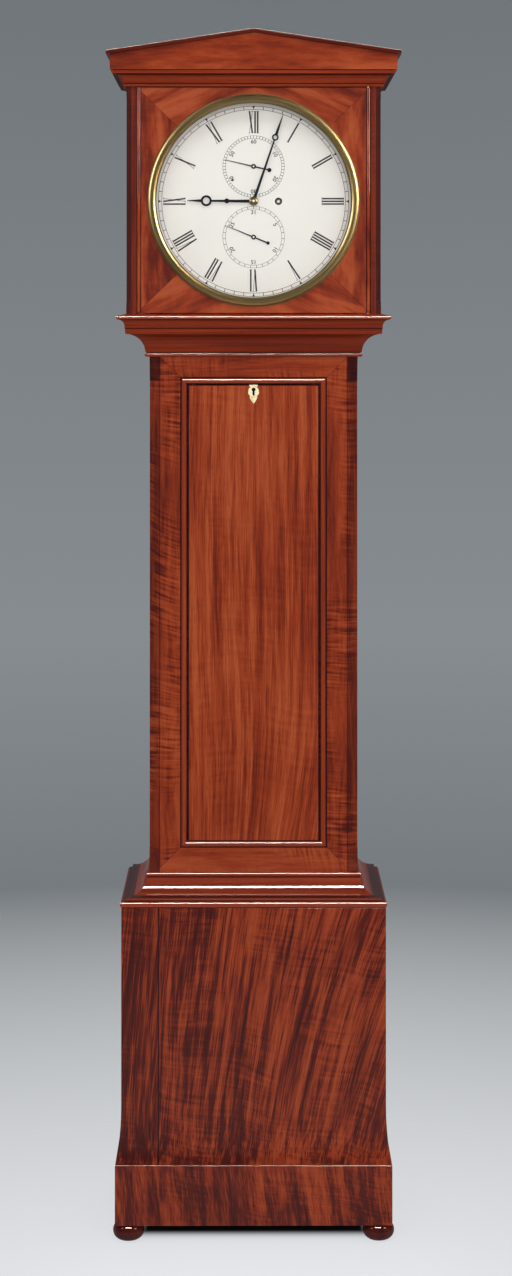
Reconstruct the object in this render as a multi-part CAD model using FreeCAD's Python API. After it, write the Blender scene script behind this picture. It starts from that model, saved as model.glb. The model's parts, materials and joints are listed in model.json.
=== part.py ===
"""Regulator clock: a floor-standing mahogany case, weight-driven movement and seconds pendulum.

Millimetres. X runs to the right as seen from the front, Y to the back, Z up.
The origin is on the floor, in the middle of the clock's width and depth.
"""
import FreeCAD
import Part

import math
import os

V = FreeCAD.Vector

# Case plan: the trunk, and how far each storey stands out from it at the front and sides
trunk_w = 335.0
trunk_d = 197.0
base_step = 42.5
plinth_step = 9.5
hood_step = 35.5
fascia_step = 25.0
cap_step = 31.0

# Case heights, from the floor up
foot_h = 26.0
plinth_h = 95.0
flare_h = 91.0
base_h = 404.0
base_moulding_h = 47.0
trunk_h = 827.5
throat_h = 38.5
hood_frame_h = 30.0
hood_h = 362.5
cornice_h = 25.0
pediment_end_h = 24.5
pediment_rise = 34.0
cap_t = 6.0

# Boards
base_board_t = 18.0
base_back_t = 12.0
backboard_t = 18.0
trunk_side_t = 16.0
trunk_frame_t = 20.0
hood_side_t = 18.0
fascia_t = 18.0
seatboard_t = 18.0
flare_out = 8.2
backboard_below_cornice = 5.0

# Mouldings: beads, fillets and hollows, measured out from the face behind them and up from their foot
bow_room = 8.0
plinth_ease = 1.0
base_bead_r = 5.0
base_bead_out = 2.0
base_fillet_in = 6.5
base_fillet_h = 4.5
base_quirk = 3.0
base_head_out = 4.0
base_head_h = 2.0
base_head_bead_r = 3.2
base_head_bead_in = 2.5
throat_bead_r = 3.25
throat_bead_out = 7.5
throat_quirk = 1.0
throat_lip_out = 1.0
throat_lip_h = 2.0
frame_fillet_out = 2.0
frame_fillet_h = 7.0
frame_quirk = 1.0
frame_bead_r = 3.25
frame_bead_out = 15.25
frame_slope_h = 2.7
frame_slope_in = 3.0
cornice_fillet_out = 4.5
cornice_fillet_h = 4.5
cornice_quirk = 1.0
cornice_hollow_out = 15.0
cornice_hollow_h = 13.0
cornice_crown_in = 4.0
cornice_crown_h = 6.5
bezel_edge_h = 2.5
bezel_roll_h = 7.5
bezel_roll_w = 7.0
bezel_step = 1.5
bezel_inner_h = 4.0
bezel_inner_w = 2.0

# Bun feet
foot_d = 50.0
foot_top_d = 34.0
foot_floor_d = 30.0
foot_overhang = 4.0

# Trunk front and its door
stile_w = 60.0
top_rail_show = 43.0
bottom_rail_show = 49.5
rebate_lip_w = 8.0
rebate_lip_t = 12.0
rebate_lip_back = 24.0
trunk_cant = 16.8
cant_stop_top = 40.0
cant_stop_foot = 26.0
cant_foot_gap = 12.5
cant_stop_bow = 0.12
door_bead_w = 8.5
door_quirk = 2.0
door_side_gap = 2.0
door_top_gap = 2.0

# Lock and escutcheon, hung from the top edge of the trunk door
escutcheon_half = [
    (0, 0),
    (6.7, 0),
    (6.7, 2.0),
    (5.2, 4.0),
    (8.3, 10.2, 0.9),
    (5.5, 18.0, 1.4),
    (6.3, 20.2),
    (0, 30.4, 0.6),
]
escutcheon_t = 1.6
escutcheon_proud = 0.5
keyhole_r = 3.2
keyhole_slot_w = 3.2
keyhole_drop = 7.8
keyhole_len = 9.4
lock_w = 44.0
lock_h = 36.0
lock_t = 12.0
lock_drop = 6.5
bolt_w = 18.0
bolt_t = 5.4
bolt_h = 27.0
bolt_drop = 0.5
bolt_throw = 6.0
bolt_clear = 0.3

# Hood corner posts, front door and bezel
post_w = 16.5
post_d = 22.0
post_cant = 8.5
post_stop_top = 22.0
post_stop_foot = 12.0
post_foot_gap = 10.0
hood_door_t = 20.0
hood_door_gap = 0.5
hood_door_end_gap = 1.5
hood_door_bead_r = 3.0
hood_door_quirk = 0.6
door_pivot_r = 2.5
door_pivot_len = 10.0
frame_side_clear = 2.5
cornice_inner_w = 22.0
bezel_side_margin = 16.0
bezel_end_margin = 9.75
bezel_w = 15.0
bezel_seat_w = 11.5
glass_t = 3.0
glass_gap = 0.5
guide_w = 10.0
guide_h = 10.0
guide_len = 130.0
guide_gap = 0.5

# Dial and hands
dial_hidden_rim = 11.0
dial_t = 2.5
dial_setback = 28.75
dial_to_plate = 23.5
dial_foot_r = 3.0
dial_foot_x = 70.0
dial_foot_z = 55.0
seconds_up = 56.0
date_down = 57.6
winding_x = 40.0
winding_hole_r = 5.0
dial_hole_gap = 1.0
small_hand_t = 0.8
small_hand_gap = 0.8
main_hand_t = 1.2
hour_hand_gap = 3.3
minute_hand_gap = 1.8
collet_r = 7.4
collet_h = 3.0
collet_bow = 1.0
hour_pipe_r = 4.2
main_hand_hub_r = 6.5
hour_len = 107.0
hour_ring_at = 76.0
hour_ring_r = 8.8
hour_boss_at = 43.0
hour_boss_r = 4.0
hour_ring_w = 3.4
hour_widths = (5.0, 3.0, 4.8, 0.8)
minute_len = 146.5
minute_ring_at = 108.0
minute_ring_r = 5.4
minute_ring_w = 2.4
minute_widths = (4.6, 2.2, 4.6, 0.7)
small_hand_w = 2.2
small_hand_tip_w = 0.7
small_hand_hub_r = 4.0
seconds_len = 47.0
seconds_tail = 26.0
seconds_ball_r = 3.4
date_len = 49.0
date_tail = 25.0
date_ball_r = 2.7
hour_deg = 270.5
minute_deg = 18.8
seconds_deg = 283.0
date_deg = 292.5

# Movement plates
plate_w = 170.0
plate_below = 80.5
plate_above = 110.0
plate_t = 4.0
plate_gap = 50.0
pillar_r = 5.0
pillar_inset = 10.0
screw_head_r = 4.5
screw_head_h = 2.5
screw_r = 2.0
screw_grip = 6.0
seat_bolt_r = 3.0
seat_bolt_head_r = 6.0
seat_bolt_head_h = 5.0
seat_margin = 4.0
seat_back_margin = 10.0

# Wheels: tooth counts and modules
great_teeth = 120
centre_pinion_teeth = 10
centre_teeth = 80
third_pinion_teeth = 10
third_teeth = 75
escape_pinion_teeth = 10
escape_teeth = 30
train_module = 0.65
cannon_teeth = 20
minute_wheel_teeth = 60
minute_pinion_teeth = 15
hour_wheel_teeth = 60
motion_distance = 20.0
date_teeth = 31
date_wheel_r = 18.0
escape_tip_r = 22.0
ratchet_teeth = 24
ratchet_r = 16.0
tooth_tip_share = 0.11
tooth_root_share = 0.27
addendum = 0.8
dedendum = 1.25
great_wheel_t = 3.0
train_wheel_t = 2.5
motion_wheel_t = 2.0
great_wheel_in = 6.0
escape_wheel_in = 15.0
third_wheel_in = 30.0
date_wheel_ahead = 4.0
great_rim_w = 5.0
great_hub_w = 9.0
train_rim_w = 4.0
train_hub_r = 6.0
spoke_w = 3.0
escape_tooth_h = 3.5
escape_rim_w = 2.5
escape_lead = 0.25
saw_tip_share = 0.1
saw_back_share = 0.8
ratchet_tooth_h = 1.6
date_tooth_h = 2.2
arbor_r = 2.0
thin_arbor_r = 1.5
pallet_arbor_r = 1.8
running_fit = 0.06
axial_gap = 0.6
pallet_clear = 1.7
pallet_t = 6.0
pallet_hub_r = 5.5
pallet_arm_h = 7.5
pallet_arm_w = 4.0
pallet_nib_w = 2.4

# Barrel, click, line, pulley and weight
barrel_r = 20.0
barrel_len = 28.0
barrel_flange_r = 23.0
barrel_flange_t = 1.5
barrel_arbor_r = 5.0
barrel_pivot_r = 3.0
winding_square = 4.6
winding_square_behind_dial = 1.0
click_len = 13.0
click_w = 3.4
click_tip_w = 1.2
click_eye_r = 2.7
click_stud_r = 1.5
click_clear = 0.4
click_pivot_deg = 115.0
click_lean_deg = 30.0
line_r = 0.8
line_slot_half = 5.0
line_off_barrel = 0.2
line_off_pulley = 0.3
pulley_flange = 3.0
pulley_t = 8.0
pulley_edge = 1.0
pulley_axle_r = 2.5
pulley_below_seat = 422.0
stirrup_t = 2.0
stirrup_w = 10.0
stirrup_gap = 0.6
stirrup_drop = 30.0
stirrup_bar_h = 6.0
weight_stem_r = 3.0
weight_stem_len = 12.0
weight_r = 26.0
weight_len = 200.0
weight_dome = 6.0

# Pendulum, its suspension and the crutch
pendulum_behind_plate = 33.0
pendulum_len = 994.0
rod_r = 6.0
suspension_pin_r = 2.0
block_half = 6.0
block_half_x = 5.0
spring_len = 24.0
spring_t = 0.8
spring_w = 10.0
chop_h = 12.0
ear_t = 5.0
ear_gap = 0.8
ear_half_w = 8.0
ear_below = 8.0
cock_bar_gap = 3.5
cock_bar_h = 10.0
cock_plate_w = 60.0
cock_plate_h = 80.0
cock_plate_t = 6.0
crutch_len = 112.0
crutch_t = 4.0
crutch_w = 5.0
crutch_hub_r = 5.0
crutch_gap = 0.5
crutch_ear_gap = 1.6
crutch_bar_gap = 3.0
crutch_tine_w = 3.5
crutch_foot_h = 6.0
bob_r = 85.0
bob_half_t = 20.0
bob_rim_half_t = 2.5
bob_bore_gap = 0.3
bob_boss_r = 9.0
bob_boss_drop = 1.5
bob_travel = 6.0
thread_r = 3.0
nut_r = 14.0
nut_h = 10.0
nut_flats = 24
thread_below_nut = 12.0
thread_above_nut = 3.0
bob_boss_grip = 8.0

# Wall fixing holes in the backboard, above the trunk
wall_hole_r = 4.0
wall_hole_spacing = 120.0
wall_hole_up = 62.0

# Derived places
trunk_half = trunk_w / 2
base_half = trunk_half + base_step
hood_half = trunk_half + hood_step
back_y = (trunk_d + hood_step + cap_step) / 2
trunk_y = back_y - trunk_d
hood_y = trunk_y - hood_step
base_y = trunk_y - base_step
backboard_y = back_y - backboard_t
frame_back_y = trunk_y + trunk_frame_t

plinth_top = foot_h + plinth_h
base_top = plinth_top + base_h
trunk_foot = base_top + base_moulding_h
throat_z = trunk_foot + trunk_h
hood_seat = throat_z + throat_h
hood_floor = hood_seat + hood_frame_h
hood_top = hood_floor + hood_h
pediment_z = hood_top + cornice_h
opening_half = trunk_half - stile_w
opening_foot = trunk_foot + bottom_rail_show
opening_top = throat_z - top_rail_show
door_top = opening_top - door_top_gap
door_half = opening_half - door_side_gap

hood_door_half = hood_half - post_w - hood_door_gap
hood_door_half_h = hood_h / 2 - hood_door_end_gap
bezel_r = min(hood_door_half - bezel_side_margin, hood_door_half_h - bezel_end_margin)
sight_r = bezel_r - bezel_w
aperture_r = bezel_r - bezel_seat_w
dial_r = sight_r + dial_hidden_rim

dial_z = (hood_floor + hood_top) / 2
dial_y = hood_y + dial_setback
front_plate_y = dial_y + dial_t + dial_to_plate
inside_y = front_plate_y + plate_t
back_plate_y = inside_y + plate_gap
movement_back_y = back_plate_y + plate_t
seat_z = dial_z - plate_below
seat_under = seat_z - seatboard_t

small_hand_y = dial_y - small_hand_gap - small_hand_t
hour_hand_y = dial_y - hour_hand_gap - main_hand_t
minute_hand_y = hour_hand_y - minute_hand_gap - main_hand_t

# Arbors, as (x, z)
great_module = 2 * winding_x / (great_teeth + centre_pinion_teeth)
centre_at = (0.0, dial_z)
barrel_at = (winding_x, dial_z)
escape_at = (0.0, dial_z + seconds_up)
date_at = (0.0, dial_z - date_down)
pallet_at = (0.0, escape_at[1] + escape_tip_r * math.sqrt(2))
minute_wheel_at = (-motion_distance, dial_z)
centre_to_third = train_module * (centre_teeth + third_pinion_teeth) / 2
third_to_escape = train_module * (third_teeth + escape_pinion_teeth) / 2
third_up = (centre_to_third**2 - third_to_escape**2 + seconds_up**2) / (2 * seconds_up)
third_at = (-math.sqrt(centre_to_third**2 - third_up**2), dial_z + third_up)
cannon_module = 2 * motion_distance / (cannon_teeth + minute_wheel_teeth)
hour_module = 2 * motion_distance / (minute_pinion_teeth + hour_wheel_teeth)

# Planes of the wheels along Y, from the front plate back
great_wheel_y = inside_y + great_wheel_in
ratchet_y = great_wheel_y + great_wheel_t + axial_gap
drum_y = ratchet_y + train_wheel_t
drum_end_y = drum_y + barrel_len
escape_wheel_y = inside_y + escape_wheel_in
third_wheel_y = inside_y + third_wheel_in
centre_wheel_y = drum_end_y + 2 * axial_gap
cannon_y = front_plate_y - axial_gap - motion_wheel_t
hour_wheel_y = cannon_y - axial_gap - motion_wheel_t
date_wheel_y = hour_wheel_y - date_wheel_ahead - motion_wheel_t

# The line leaves the barrel's left edge, passes under the weight's pulley and ends at the seatboard
line_y = drum_y + barrel_len / 2
line_radius = barrel_r + line_off_barrel + line_r
pulley_at = (winding_x, seat_under - pulley_below_seat)

pendulum_y = movement_back_y + pendulum_behind_plate
pendulum_z = pallet_at[1]
bob_z = pendulum_z - pendulum_len
nut_top = bob_z - bob_r - bob_boss_drop

# An arc of a quarter circle bows from its chord by this share of the chord
quarter_bow = (math.sqrt(2) - 1) / 2

nodes = {}


def keep(name, *shapes):
    """File the solids of a named piece, or of a set of like pieces."""
    nodes[name] = [solid for shape in shapes for solid in shape.Solids]


def span_box(x0, x1, y0, y1, z0, z1):
    return Part.makeBox(x1 - x0, y1 - y0, z1 - z0, V(x0, y0, z0))


def rod_y(radius, y0, y1, at):
    return Part.makeCylinder(radius, y1 - y0, V(at[0], y0, at[1]), V(0, 1, 0))


def rod_z(radius, z0, z1, x, y):
    return Part.makeCylinder(radius, z1 - z0, V(x, y, z0))


def closed_face(points, place):
    """A face round (u, v) points; a third value bows the run that ends there to its left."""
    edges = []
    for start, end in zip([points[-1], *points[:-1]], points):
        ends = place(*start[:2]), place(*end[:2])
        if len(end) == 3:
            du = end[0] - start[0]
            dv = end[1] - start[1]
            bow = end[2] / math.hypot(du, dv)
            middle = place((start[0] + end[0]) / 2 - dv * bow, (start[1] + end[1]) / 2 + du * bow)
            edges.append(Part.Arc(ends[0], middle, ends[1]).toShape())
        else:
            edges.append(Part.LineSegment(*ends).toShape())
    return Part.Face(Part.Wire(edges))


def prism_y(points, y0, y1):
    return closed_face(points, lambda x, z: V(x, y0, z)).extrude(V(0, y1 - y0, 0))


def prism_z(points, z0, z1):
    return closed_face(points, lambda x, y: V(x, y, z0)).extrude(V(0, 0, z1 - z0))


def turned(points, at):
    """Points are (radius, y), turned about the Y axis through at."""
    face = closed_face(points, lambda r, y: V(at[0] + r, y, at[1]))
    return face.revolve(V(at[0], 0, at[1]), V(0, 1, 0), 360)


def hollow(start, end, share=quarter_bow):
    """The end of a concave run of a moulding that starts at start."""
    return (*end, share * math.hypot(end[0] - start[0], end[1] - start[1]))


def both_sides(shape):
    return shape, shape.mirror(V(0, 0, 0), V(1, 0, 0))


def mitred_lengths(points, half_w, front, z0):
    """A moulding round the front and sides: points are (distance out from the face, height)."""
    outer = max(p[0] for p in points) + bow_room
    inner = min(p[0] for p in points) - 1
    foot = z0 + min(p[1] for p in points) - 1
    head = z0 + max(p[1] for p in points) + 1
    front_bar = closed_face(points, lambda out, up: V(-half_w - outer, front - out, z0 + up))
    front_bar = front_bar.extrude(V(2 * (half_w + outer), 0, 0))
    side_bar = closed_face(points, lambda out, up: V(half_w + out, front - outer, z0 + up))
    side_bar = side_bar.extrude(V(0, back_y - front + outer, 0))
    corner = (half_w + outer, front - outer)
    inside = (half_w + inner, front - inner)
    front_plan = [(-corner[0], corner[1]), corner, inside, (-inside[0], inside[1])]
    side_plan = [corner, (corner[0], back_y), (inside[0], back_y), inside]
    side = side_bar.common(prism_z(side_plan, foot, head))
    return front_bar.common(prism_z(front_plan, foot, head)), *both_sides(side)


def cant_cutter(corner, leg, z0, z1, foot_stop, top_stop):
    """What a canted corner with a lamb's tongue at each end removes from a front right corner."""
    depth = leg / math.sqrt(2)
    width = leg + 2
    bow = cant_stop_bow * depth
    points = [
        (2, z0),
        (0, z0),
        (-depth / 2, z0 + foot_stop / 2, bow),
        (-depth, z0 + foot_stop, -bow),
        (-depth, z1 - top_stop),
        (-depth / 2, z1 - top_stop / 2, -bow),
        (0, z1, bow),
        (2, z1),
    ]
    out = V(1, -1, 0) / math.sqrt(2)
    along = V(1, 1, 0) / math.sqrt(2)
    start = V(*corner, 0) - along * width
    face = closed_face(points, lambda n, z: start + out * n + V(0, 0, z))
    return face.extrude(along * (2 * width))


def direction(a, b):
    return math.atan2(b[1] - a[1], b[0] - a[0])


def toothed(teeth, module, at, y0, thick, tooth_angle):
    """A toothed disc with one tooth centred on tooth_angle, in radians from +X towards +Z."""
    pitch = 2 * math.pi / teeth
    tip = module * (teeth / 2 + addendum)
    root = module * (teeth / 2 - dedendum)
    flank = [(root, -tooth_root_share), (tip, -tooth_tip_share)]
    flank += [(tip, tooth_tip_share), (root, tooth_root_share)]
    points = []
    for i in range(teeth):
        for radius, share in flank:
            angle = tooth_angle + (i + share) * pitch
            points.append((at[0] + radius * math.cos(angle), at[1] + radius * math.sin(angle)))
    return prism_y(points, y0, y0 + thick)


def saw_toothed(teeth, tip, root, at, y0, thick, lead=0.0):
    """A ratchet or escape wheel: straight fronts that lean by lead pitches, and sloping backs."""
    pitch = 2 * math.pi / teeth
    corners = ((root, 0.0), (tip, lead), (tip, lead + saw_tip_share), (root, saw_back_share))
    points = []
    for i in range(teeth):
        for radius, share in corners:
            angle = (i + share) * pitch
            points.append((at[0] + radius * math.cos(angle), at[1] + radius * math.sin(angle)))
    return prism_y(points, y0, y0 + thick)


def crossed_out(wheel, at, y0, thick, hub, rim, spokes=6):
    """Cut the windows between a wheel's spokes."""
    windows = rod_y(rim, y0, y0 + thick, at).cut(rod_y(hub, y0, y0 + thick, at))
    for i in range(spokes):
        edge = spoke_w / 2
        spoke = span_box(at[0], at[0] + rim + 1, y0, y0 + thick, at[1] - edge, at[1] + edge)
        spoke.rotate(V(at[0], 0, at[1]), V(0, 1, 0), 360 * i / spokes)
        windows = windows.cut(spoke)
    return wheel.cut(windows)


def mesh_angles(driver_at, driven_at, driven_teeth):
    """Tooth angles that put a tooth of the driver in a gap of the driven gear."""
    angle = direction(driver_at, driven_at)
    return angle, angle + math.pi + math.pi / driven_teeth


def bun_bow(run, rise):
    """How far an arc bows from its chord when it ends upright, after a run and a rise."""
    radius = (run**2 + rise**2) / (2 * run)
    return radius - math.sqrt(radius**2 - (run**2 + rise**2) / 4)


def make_feet():
    overhang_x = base_half + plinth_step + foot_overhang - foot_d / 2
    front = base_y - plinth_step - foot_overhang + foot_d / 2
    back = back_y - foot_d / 2
    floor_r = foot_floor_d / 2
    top_r = foot_top_d / 2
    waist_r = foot_d / 2
    profile = [(0, 0), (floor_r, 0), (waist_r, foot_h / 2, -bun_bow(waist_r - floor_r, foot_h / 2))]
    profile += [(top_r, foot_h, -bun_bow(waist_r - top_r, foot_h / 2)), (0, foot_h)]
    feet = []
    for y in (front, back):
        face = closed_face(profile, lambda r, z: V(overhang_x + r, y, z))
        feet += both_sides(face.revolve(V(overhang_x, y, 0), V(0, 0, 1), 360))
    keep("bun_feet", *feet)


def make_base():
    inner = -base_board_t
    flare_bow = flare_out / 4
    board = [(inner, foot_h), (0, foot_h), (0, plinth_top), (flare_out, plinth_top)]
    board += [(0, plinth_top + flare_h, flare_bow), (0, base_top), (inner, base_top)]
    front, *sides = mitred_lengths(board, base_half, base_y, 0)
    keep("base_front", front)
    keep("base_sides", *sides)
    plinth = [(0, 0), (plinth_step, 0), (plinth_step, plinth_h - plinth_ease)]
    plinth += [(plinth_step - plinth_ease, plinth_h), (0, plinth_h)]
    keep("plinth_moulding", *mitred_lengths(plinth, base_half, base_y, foot_h))
    inside = base_half - base_board_t
    back = back_y - base_back_t
    floor_front = base_y + base_board_t
    floor_top = foot_h + base_board_t
    keep("base_floor", span_box(-inside, inside, floor_front, back, foot_h, floor_top))
    keep("base_back", span_box(-inside, inside, back, back_y, foot_h, base_top))
    bead_x = base_step + base_bead_out - base_bead_r
    bead_top = 2 * base_bead_r
    fillet_x = base_step - base_fillet_in
    fillet_top = bead_top + base_fillet_h
    head_bead_x = base_head_out - base_head_bead_in
    head_bead_z = base_moulding_h - 2 * base_head_bead_r
    sweep_foot = (fillet_x - base_quirk, fillet_top)
    sweep_head = (base_head_out, head_bead_z - base_head_h)
    moulding = [(0, 0), (bead_x, 0), (bead_x, bead_top, -base_bead_r), (fillet_x, bead_top)]
    moulding += [(fillet_x, fillet_top), sweep_foot, hollow(sweep_foot, sweep_head)]
    moulding += [(base_head_out, head_bead_z), (head_bead_x, head_bead_z)]
    moulding += [(head_bead_x, base_moulding_h, -base_head_bead_r), (0, base_moulding_h)]
    keep("base_moulding", *mitred_lengths(moulding, trunk_half, trunk_y, base_top))


def make_trunk():
    plan = [(trunk_half, trunk_y), (opening_half, trunk_y), (opening_half, frame_back_y)]
    lip_x = opening_half - rebate_lip_w
    lip_y = frame_back_y + rebate_lip_t
    plan += [(lip_x, frame_back_y), (lip_x, lip_y), (lip_x + rebate_lip_back, lip_y)]
    plan += [(lip_x + rebate_lip_back, frame_back_y), (trunk_half, frame_back_y)]
    cant_foot = trunk_foot + cant_foot_gap
    cant = cant_cutter(
        (trunk_half, trunk_y), trunk_cant, cant_foot, throat_z, cant_stop_foot, cant_stop_top
    )
    quirk = quirk_cutter()
    keep("trunk_stiles", *both_sides(prism_z(plan, base_top, hood_seat).cut(cant).cut(quirk)))
    top_rail = span_box(-opening_half, opening_half, trunk_y, frame_back_y, opening_top, hood_seat)
    mortise = bolt_box(2 * bolt_clear, opening_top - 1, door_top - bolt_drop + bolt_throw + bolt_clear)
    foot_rail = span_box(-opening_half, opening_half, trunk_y, frame_back_y, base_top, opening_foot)
    keep("trunk_rails", top_rail.cut(mortise).cut(quirk), foot_rail.cut(quirk))
    side = span_box(trunk_half - trunk_side_t, trunk_half, frame_back_y, backboard_y, base_top, seat_under)
    keep("trunk_sides", *both_sides(side))
    board_top = hood_top - backboard_below_cornice
    board = span_box(-trunk_half, trunk_half, backboard_y, back_y, base_top, board_top)
    for x in (-wall_hole_spacing / 2, wall_hole_spacing / 2):
        board = board.cut(rod_y(wall_hole_r, backboard_y, back_y, (x, hood_seat + wall_hole_up)))
    keep("backboard", board)
    keep("trunk_door_bead", *framed_bead(door_bead_w))
    bead_x = throat_bead_out - throat_bead_r
    bead_top = 2 * throat_bead_r
    lip_out = hood_step + throat_lip_out
    lip_foot = throat_h - throat_lip_h
    sweep_foot = (throat_bead_out - throat_quirk, bead_top + throat_quirk)
    throat = [(0, 0), (bead_x, 0), (bead_x, bead_top, -throat_bead_r), (bead_x, bead_top + throat_quirk)]
    throat += [sweep_foot, hollow(sweep_foot, (lip_out, lip_foot)), (lip_out, throat_h), (0, throat_h)]
    keep("trunk_top_moulding", *mitred_lengths(throat, trunk_half, trunk_y, throat_z))
    guide_z = hood_floor + guide_gap
    guide_end = frame_back_y + guide_len
    guide = span_box(trunk_half, trunk_half + guide_w, frame_back_y, guide_end, guide_z, guide_z + guide_h)
    keep("hood_guides", *both_sides(guide))


def quirk_cutter():
    """A square groove round the outside of the door's bead."""
    reach = door_bead_w + door_quirk
    slab = (trunk_y, trunk_y + door_quirk)
    outer_x = opening_half + reach
    inner_x = opening_half + door_bead_w
    outer = span_box(-outer_x, outer_x, *slab, opening_foot - reach, opening_top + reach)
    inner_z = (opening_foot - door_bead_w, opening_top + door_bead_w)
    return outer.cut(span_box(-inner_x, inner_x, *slab, *inner_z))


def framed_bead(width):
    """Four mitred lengths of half-round bead round the door opening, on the face of the frame."""
    x1 = opening_half + width
    z0 = opening_foot - width
    z1 = opening_top + width
    section = [(0, 0), (width, 0, -width / 2)]
    post = closed_face(section, lambda u, v: V(opening_half + u, trunk_y + v, z0)).extrude(V(0, 0, z1 - z0))
    head = closed_face(section, lambda u, v: V(-x1, trunk_y + v, opening_top + u)).extrude(V(2 * x1, 0, 0))
    foot = closed_face(section, lambda u, v: V(-x1, trunk_y + v, opening_foot - u)).extrude(V(2 * x1, 0, 0))
    front = trunk_y - width
    post_plan = [(opening_half, opening_foot), (x1, z0), (x1, z1), (opening_half, opening_top)]
    head_plan = [(-x1, z1), (x1, z1), (opening_half, opening_top), (-opening_half, opening_top)]
    foot_plan = [(-x1, z0), (x1, z0), (opening_half, opening_foot), (-opening_half, opening_foot)]
    posts = both_sides(post.common(prism_y(post_plan, front, trunk_y)))
    head = head.common(prism_y(head_plan, front, trunk_y))
    foot = foot.common(prism_y(foot_plan, front, trunk_y))
    return *posts, head, foot


def bolt_box(clear, z0, z1):
    """The lock bolt's section, grown by clear, between two heights."""
    middle = frame_back_y - lock_t / 2
    half_w = bolt_w / 2 + clear
    half_t = bolt_t / 2 + clear
    return span_box(-half_w, half_w, middle - half_t, middle + half_t, z0, z1)


def make_trunk_door():
    panel = span_box(-door_half, door_half, trunk_y, frame_back_y, opening_foot, door_top)
    front = trunk_y - escutcheon_proud
    outline = [(x, door_top - down, *bow) for x, down, *bow in escutcheon_half]
    right, left = both_sides(prism_y(outline, front, front + escutcheon_t))
    plate = right.fuse(left).removeSplitter()
    eye = (0, door_top - keyhole_drop)
    keyhole = rod_y(keyhole_r, front - 1, frame_back_y - lock_t, eye)
    half_slot = keyhole_slot_w / 2
    slot = span_box(-half_slot, half_slot, front - 1, frame_back_y - lock_t, eye[1] - keyhole_len, eye[1])
    keyhole = keyhole.fuse(slot)
    lock_top = door_top - lock_drop
    lock_foot = lock_top - lock_h
    lock_front = frame_back_y - lock_t
    case = span_box(-lock_w / 2, lock_w / 2, lock_front, frame_back_y, lock_foot, lock_top)
    bolt_top = door_top - bolt_drop
    bolt_way = bolt_box(bolt_clear, bolt_top - bolt_h - bolt_clear, door_top + 1)
    keep("trunk_door", panel.cut(plate).cut(keyhole).cut(case).cut(bolt_way))
    keep("escutcheon", plate.cut(keyhole))
    keep("trunk_lock", case.cut(bolt_way))
    keep("lock_bolt", bolt_box(0, bolt_top - bolt_h, bolt_top))


def make_hood():
    post = span_box(hood_half - post_w, hood_half, hood_y, hood_y + post_d, hood_floor, hood_top)
    cant = cant_cutter(
        (hood_half, hood_y), post_cant, hood_floor + post_foot_gap, hood_top, post_stop_foot, post_stop_top
    )
    keep("hood_posts", *both_sides(post.cut(cant)))
    side = span_box(hood_half - hood_side_t, hood_half, hood_y + post_d, back_y, hood_floor, hood_top)
    keep("hood_sides", *both_sides(side))
    pivot_holes = [rod_z(door_pivot_r + running_fit, z - door_pivot_len, z + door_pivot_len, *hood_pivot())
                   for z in (hood_floor, hood_top)]
    frame_in = hood_step - frame_side_clear
    bead_x = frame_bead_out - frame_bead_r
    bead_top = hood_frame_h - frame_slope_h
    bead_foot = bead_top - 2 * frame_bead_r
    sweep_foot = (frame_fillet_out + frame_quirk, frame_fillet_h)
    frame = [(-frame_in, 0), (frame_fillet_out, 0), (frame_fillet_out, frame_fillet_h), sweep_foot]
    frame += [hollow(sweep_foot, (bead_x - frame_quirk, bead_foot)), (bead_x, bead_foot)]
    frame += [(bead_x, bead_top, -frame_bead_r), (bead_x - frame_slope_in, bead_top)]
    frame += [(frame_slope_in, hood_frame_h), (-frame_in, hood_frame_h)]
    front, *sides = mitred_lengths(frame, hood_half, hood_y, hood_seat)
    keep("hood_base_frame", front.cut(pivot_holes[0]), *sides)
    inner = -cornice_inner_w
    sweep_foot = (cornice_fillet_out + cornice_quirk, cornice_fillet_h)
    sweep_head = (cornice_hollow_out, cornice_fillet_h + cornice_hollow_h)
    crown_out = fascia_step - cornice_crown_in
    crown_foot = cornice_h - cornice_crown_h
    cornice = [(inner, 0), (cornice_fillet_out, 0), (cornice_fillet_out, cornice_fillet_h), sweep_foot]
    cornice += [hollow(sweep_foot, sweep_head), (sweep_head[0] + cornice_quirk, sweep_head[1])]
    cornice += [(sweep_head[0] + cornice_quirk, crown_foot), (crown_out, crown_foot)]
    cornice += [(crown_out, cornice_h), (inner, cornice_h)]
    front, *sides = mitred_lengths(cornice, hood_half, hood_y, hood_top)
    keep("hood_cornice", front.cut(pivot_holes[1]), *sides)


def make_pediment():
    half = hood_half + fascia_step
    front = hood_y - fascia_step
    end_z = pediment_z + pediment_end_h
    slope = pediment_rise / half
    apex_z = end_z + pediment_rise
    gable = [(-half, pediment_z), (half, pediment_z), (half, end_z), (0, apex_z), (-half, end_z)]
    inner = half - fascia_t
    side = [(inner, pediment_z), (half, pediment_z), (half, end_z), (inner, end_z + slope * fascia_t)]
    returns = both_sides(prism_y(side, front + fascia_t, back_y))
    keep("pediment_boards", prism_y(gable, front, front + fascia_t), *returns)
    eave = hood_half + cap_step
    eave_z = apex_z - slope * eave
    roof = [(0, apex_z), (eave, eave_z), (eave, eave_z + cap_t), (0, apex_z + cap_t)]
    keep("pediment_cap", *both_sides(prism_y(roof, hood_y - cap_step, back_y)))


def hood_pivot():
    """Where the hood door's pivots stand, in plan: the middle of the bead on its right edge."""
    return hood_door_half - hood_door_bead_r, hood_y + hood_door_bead_r


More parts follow.
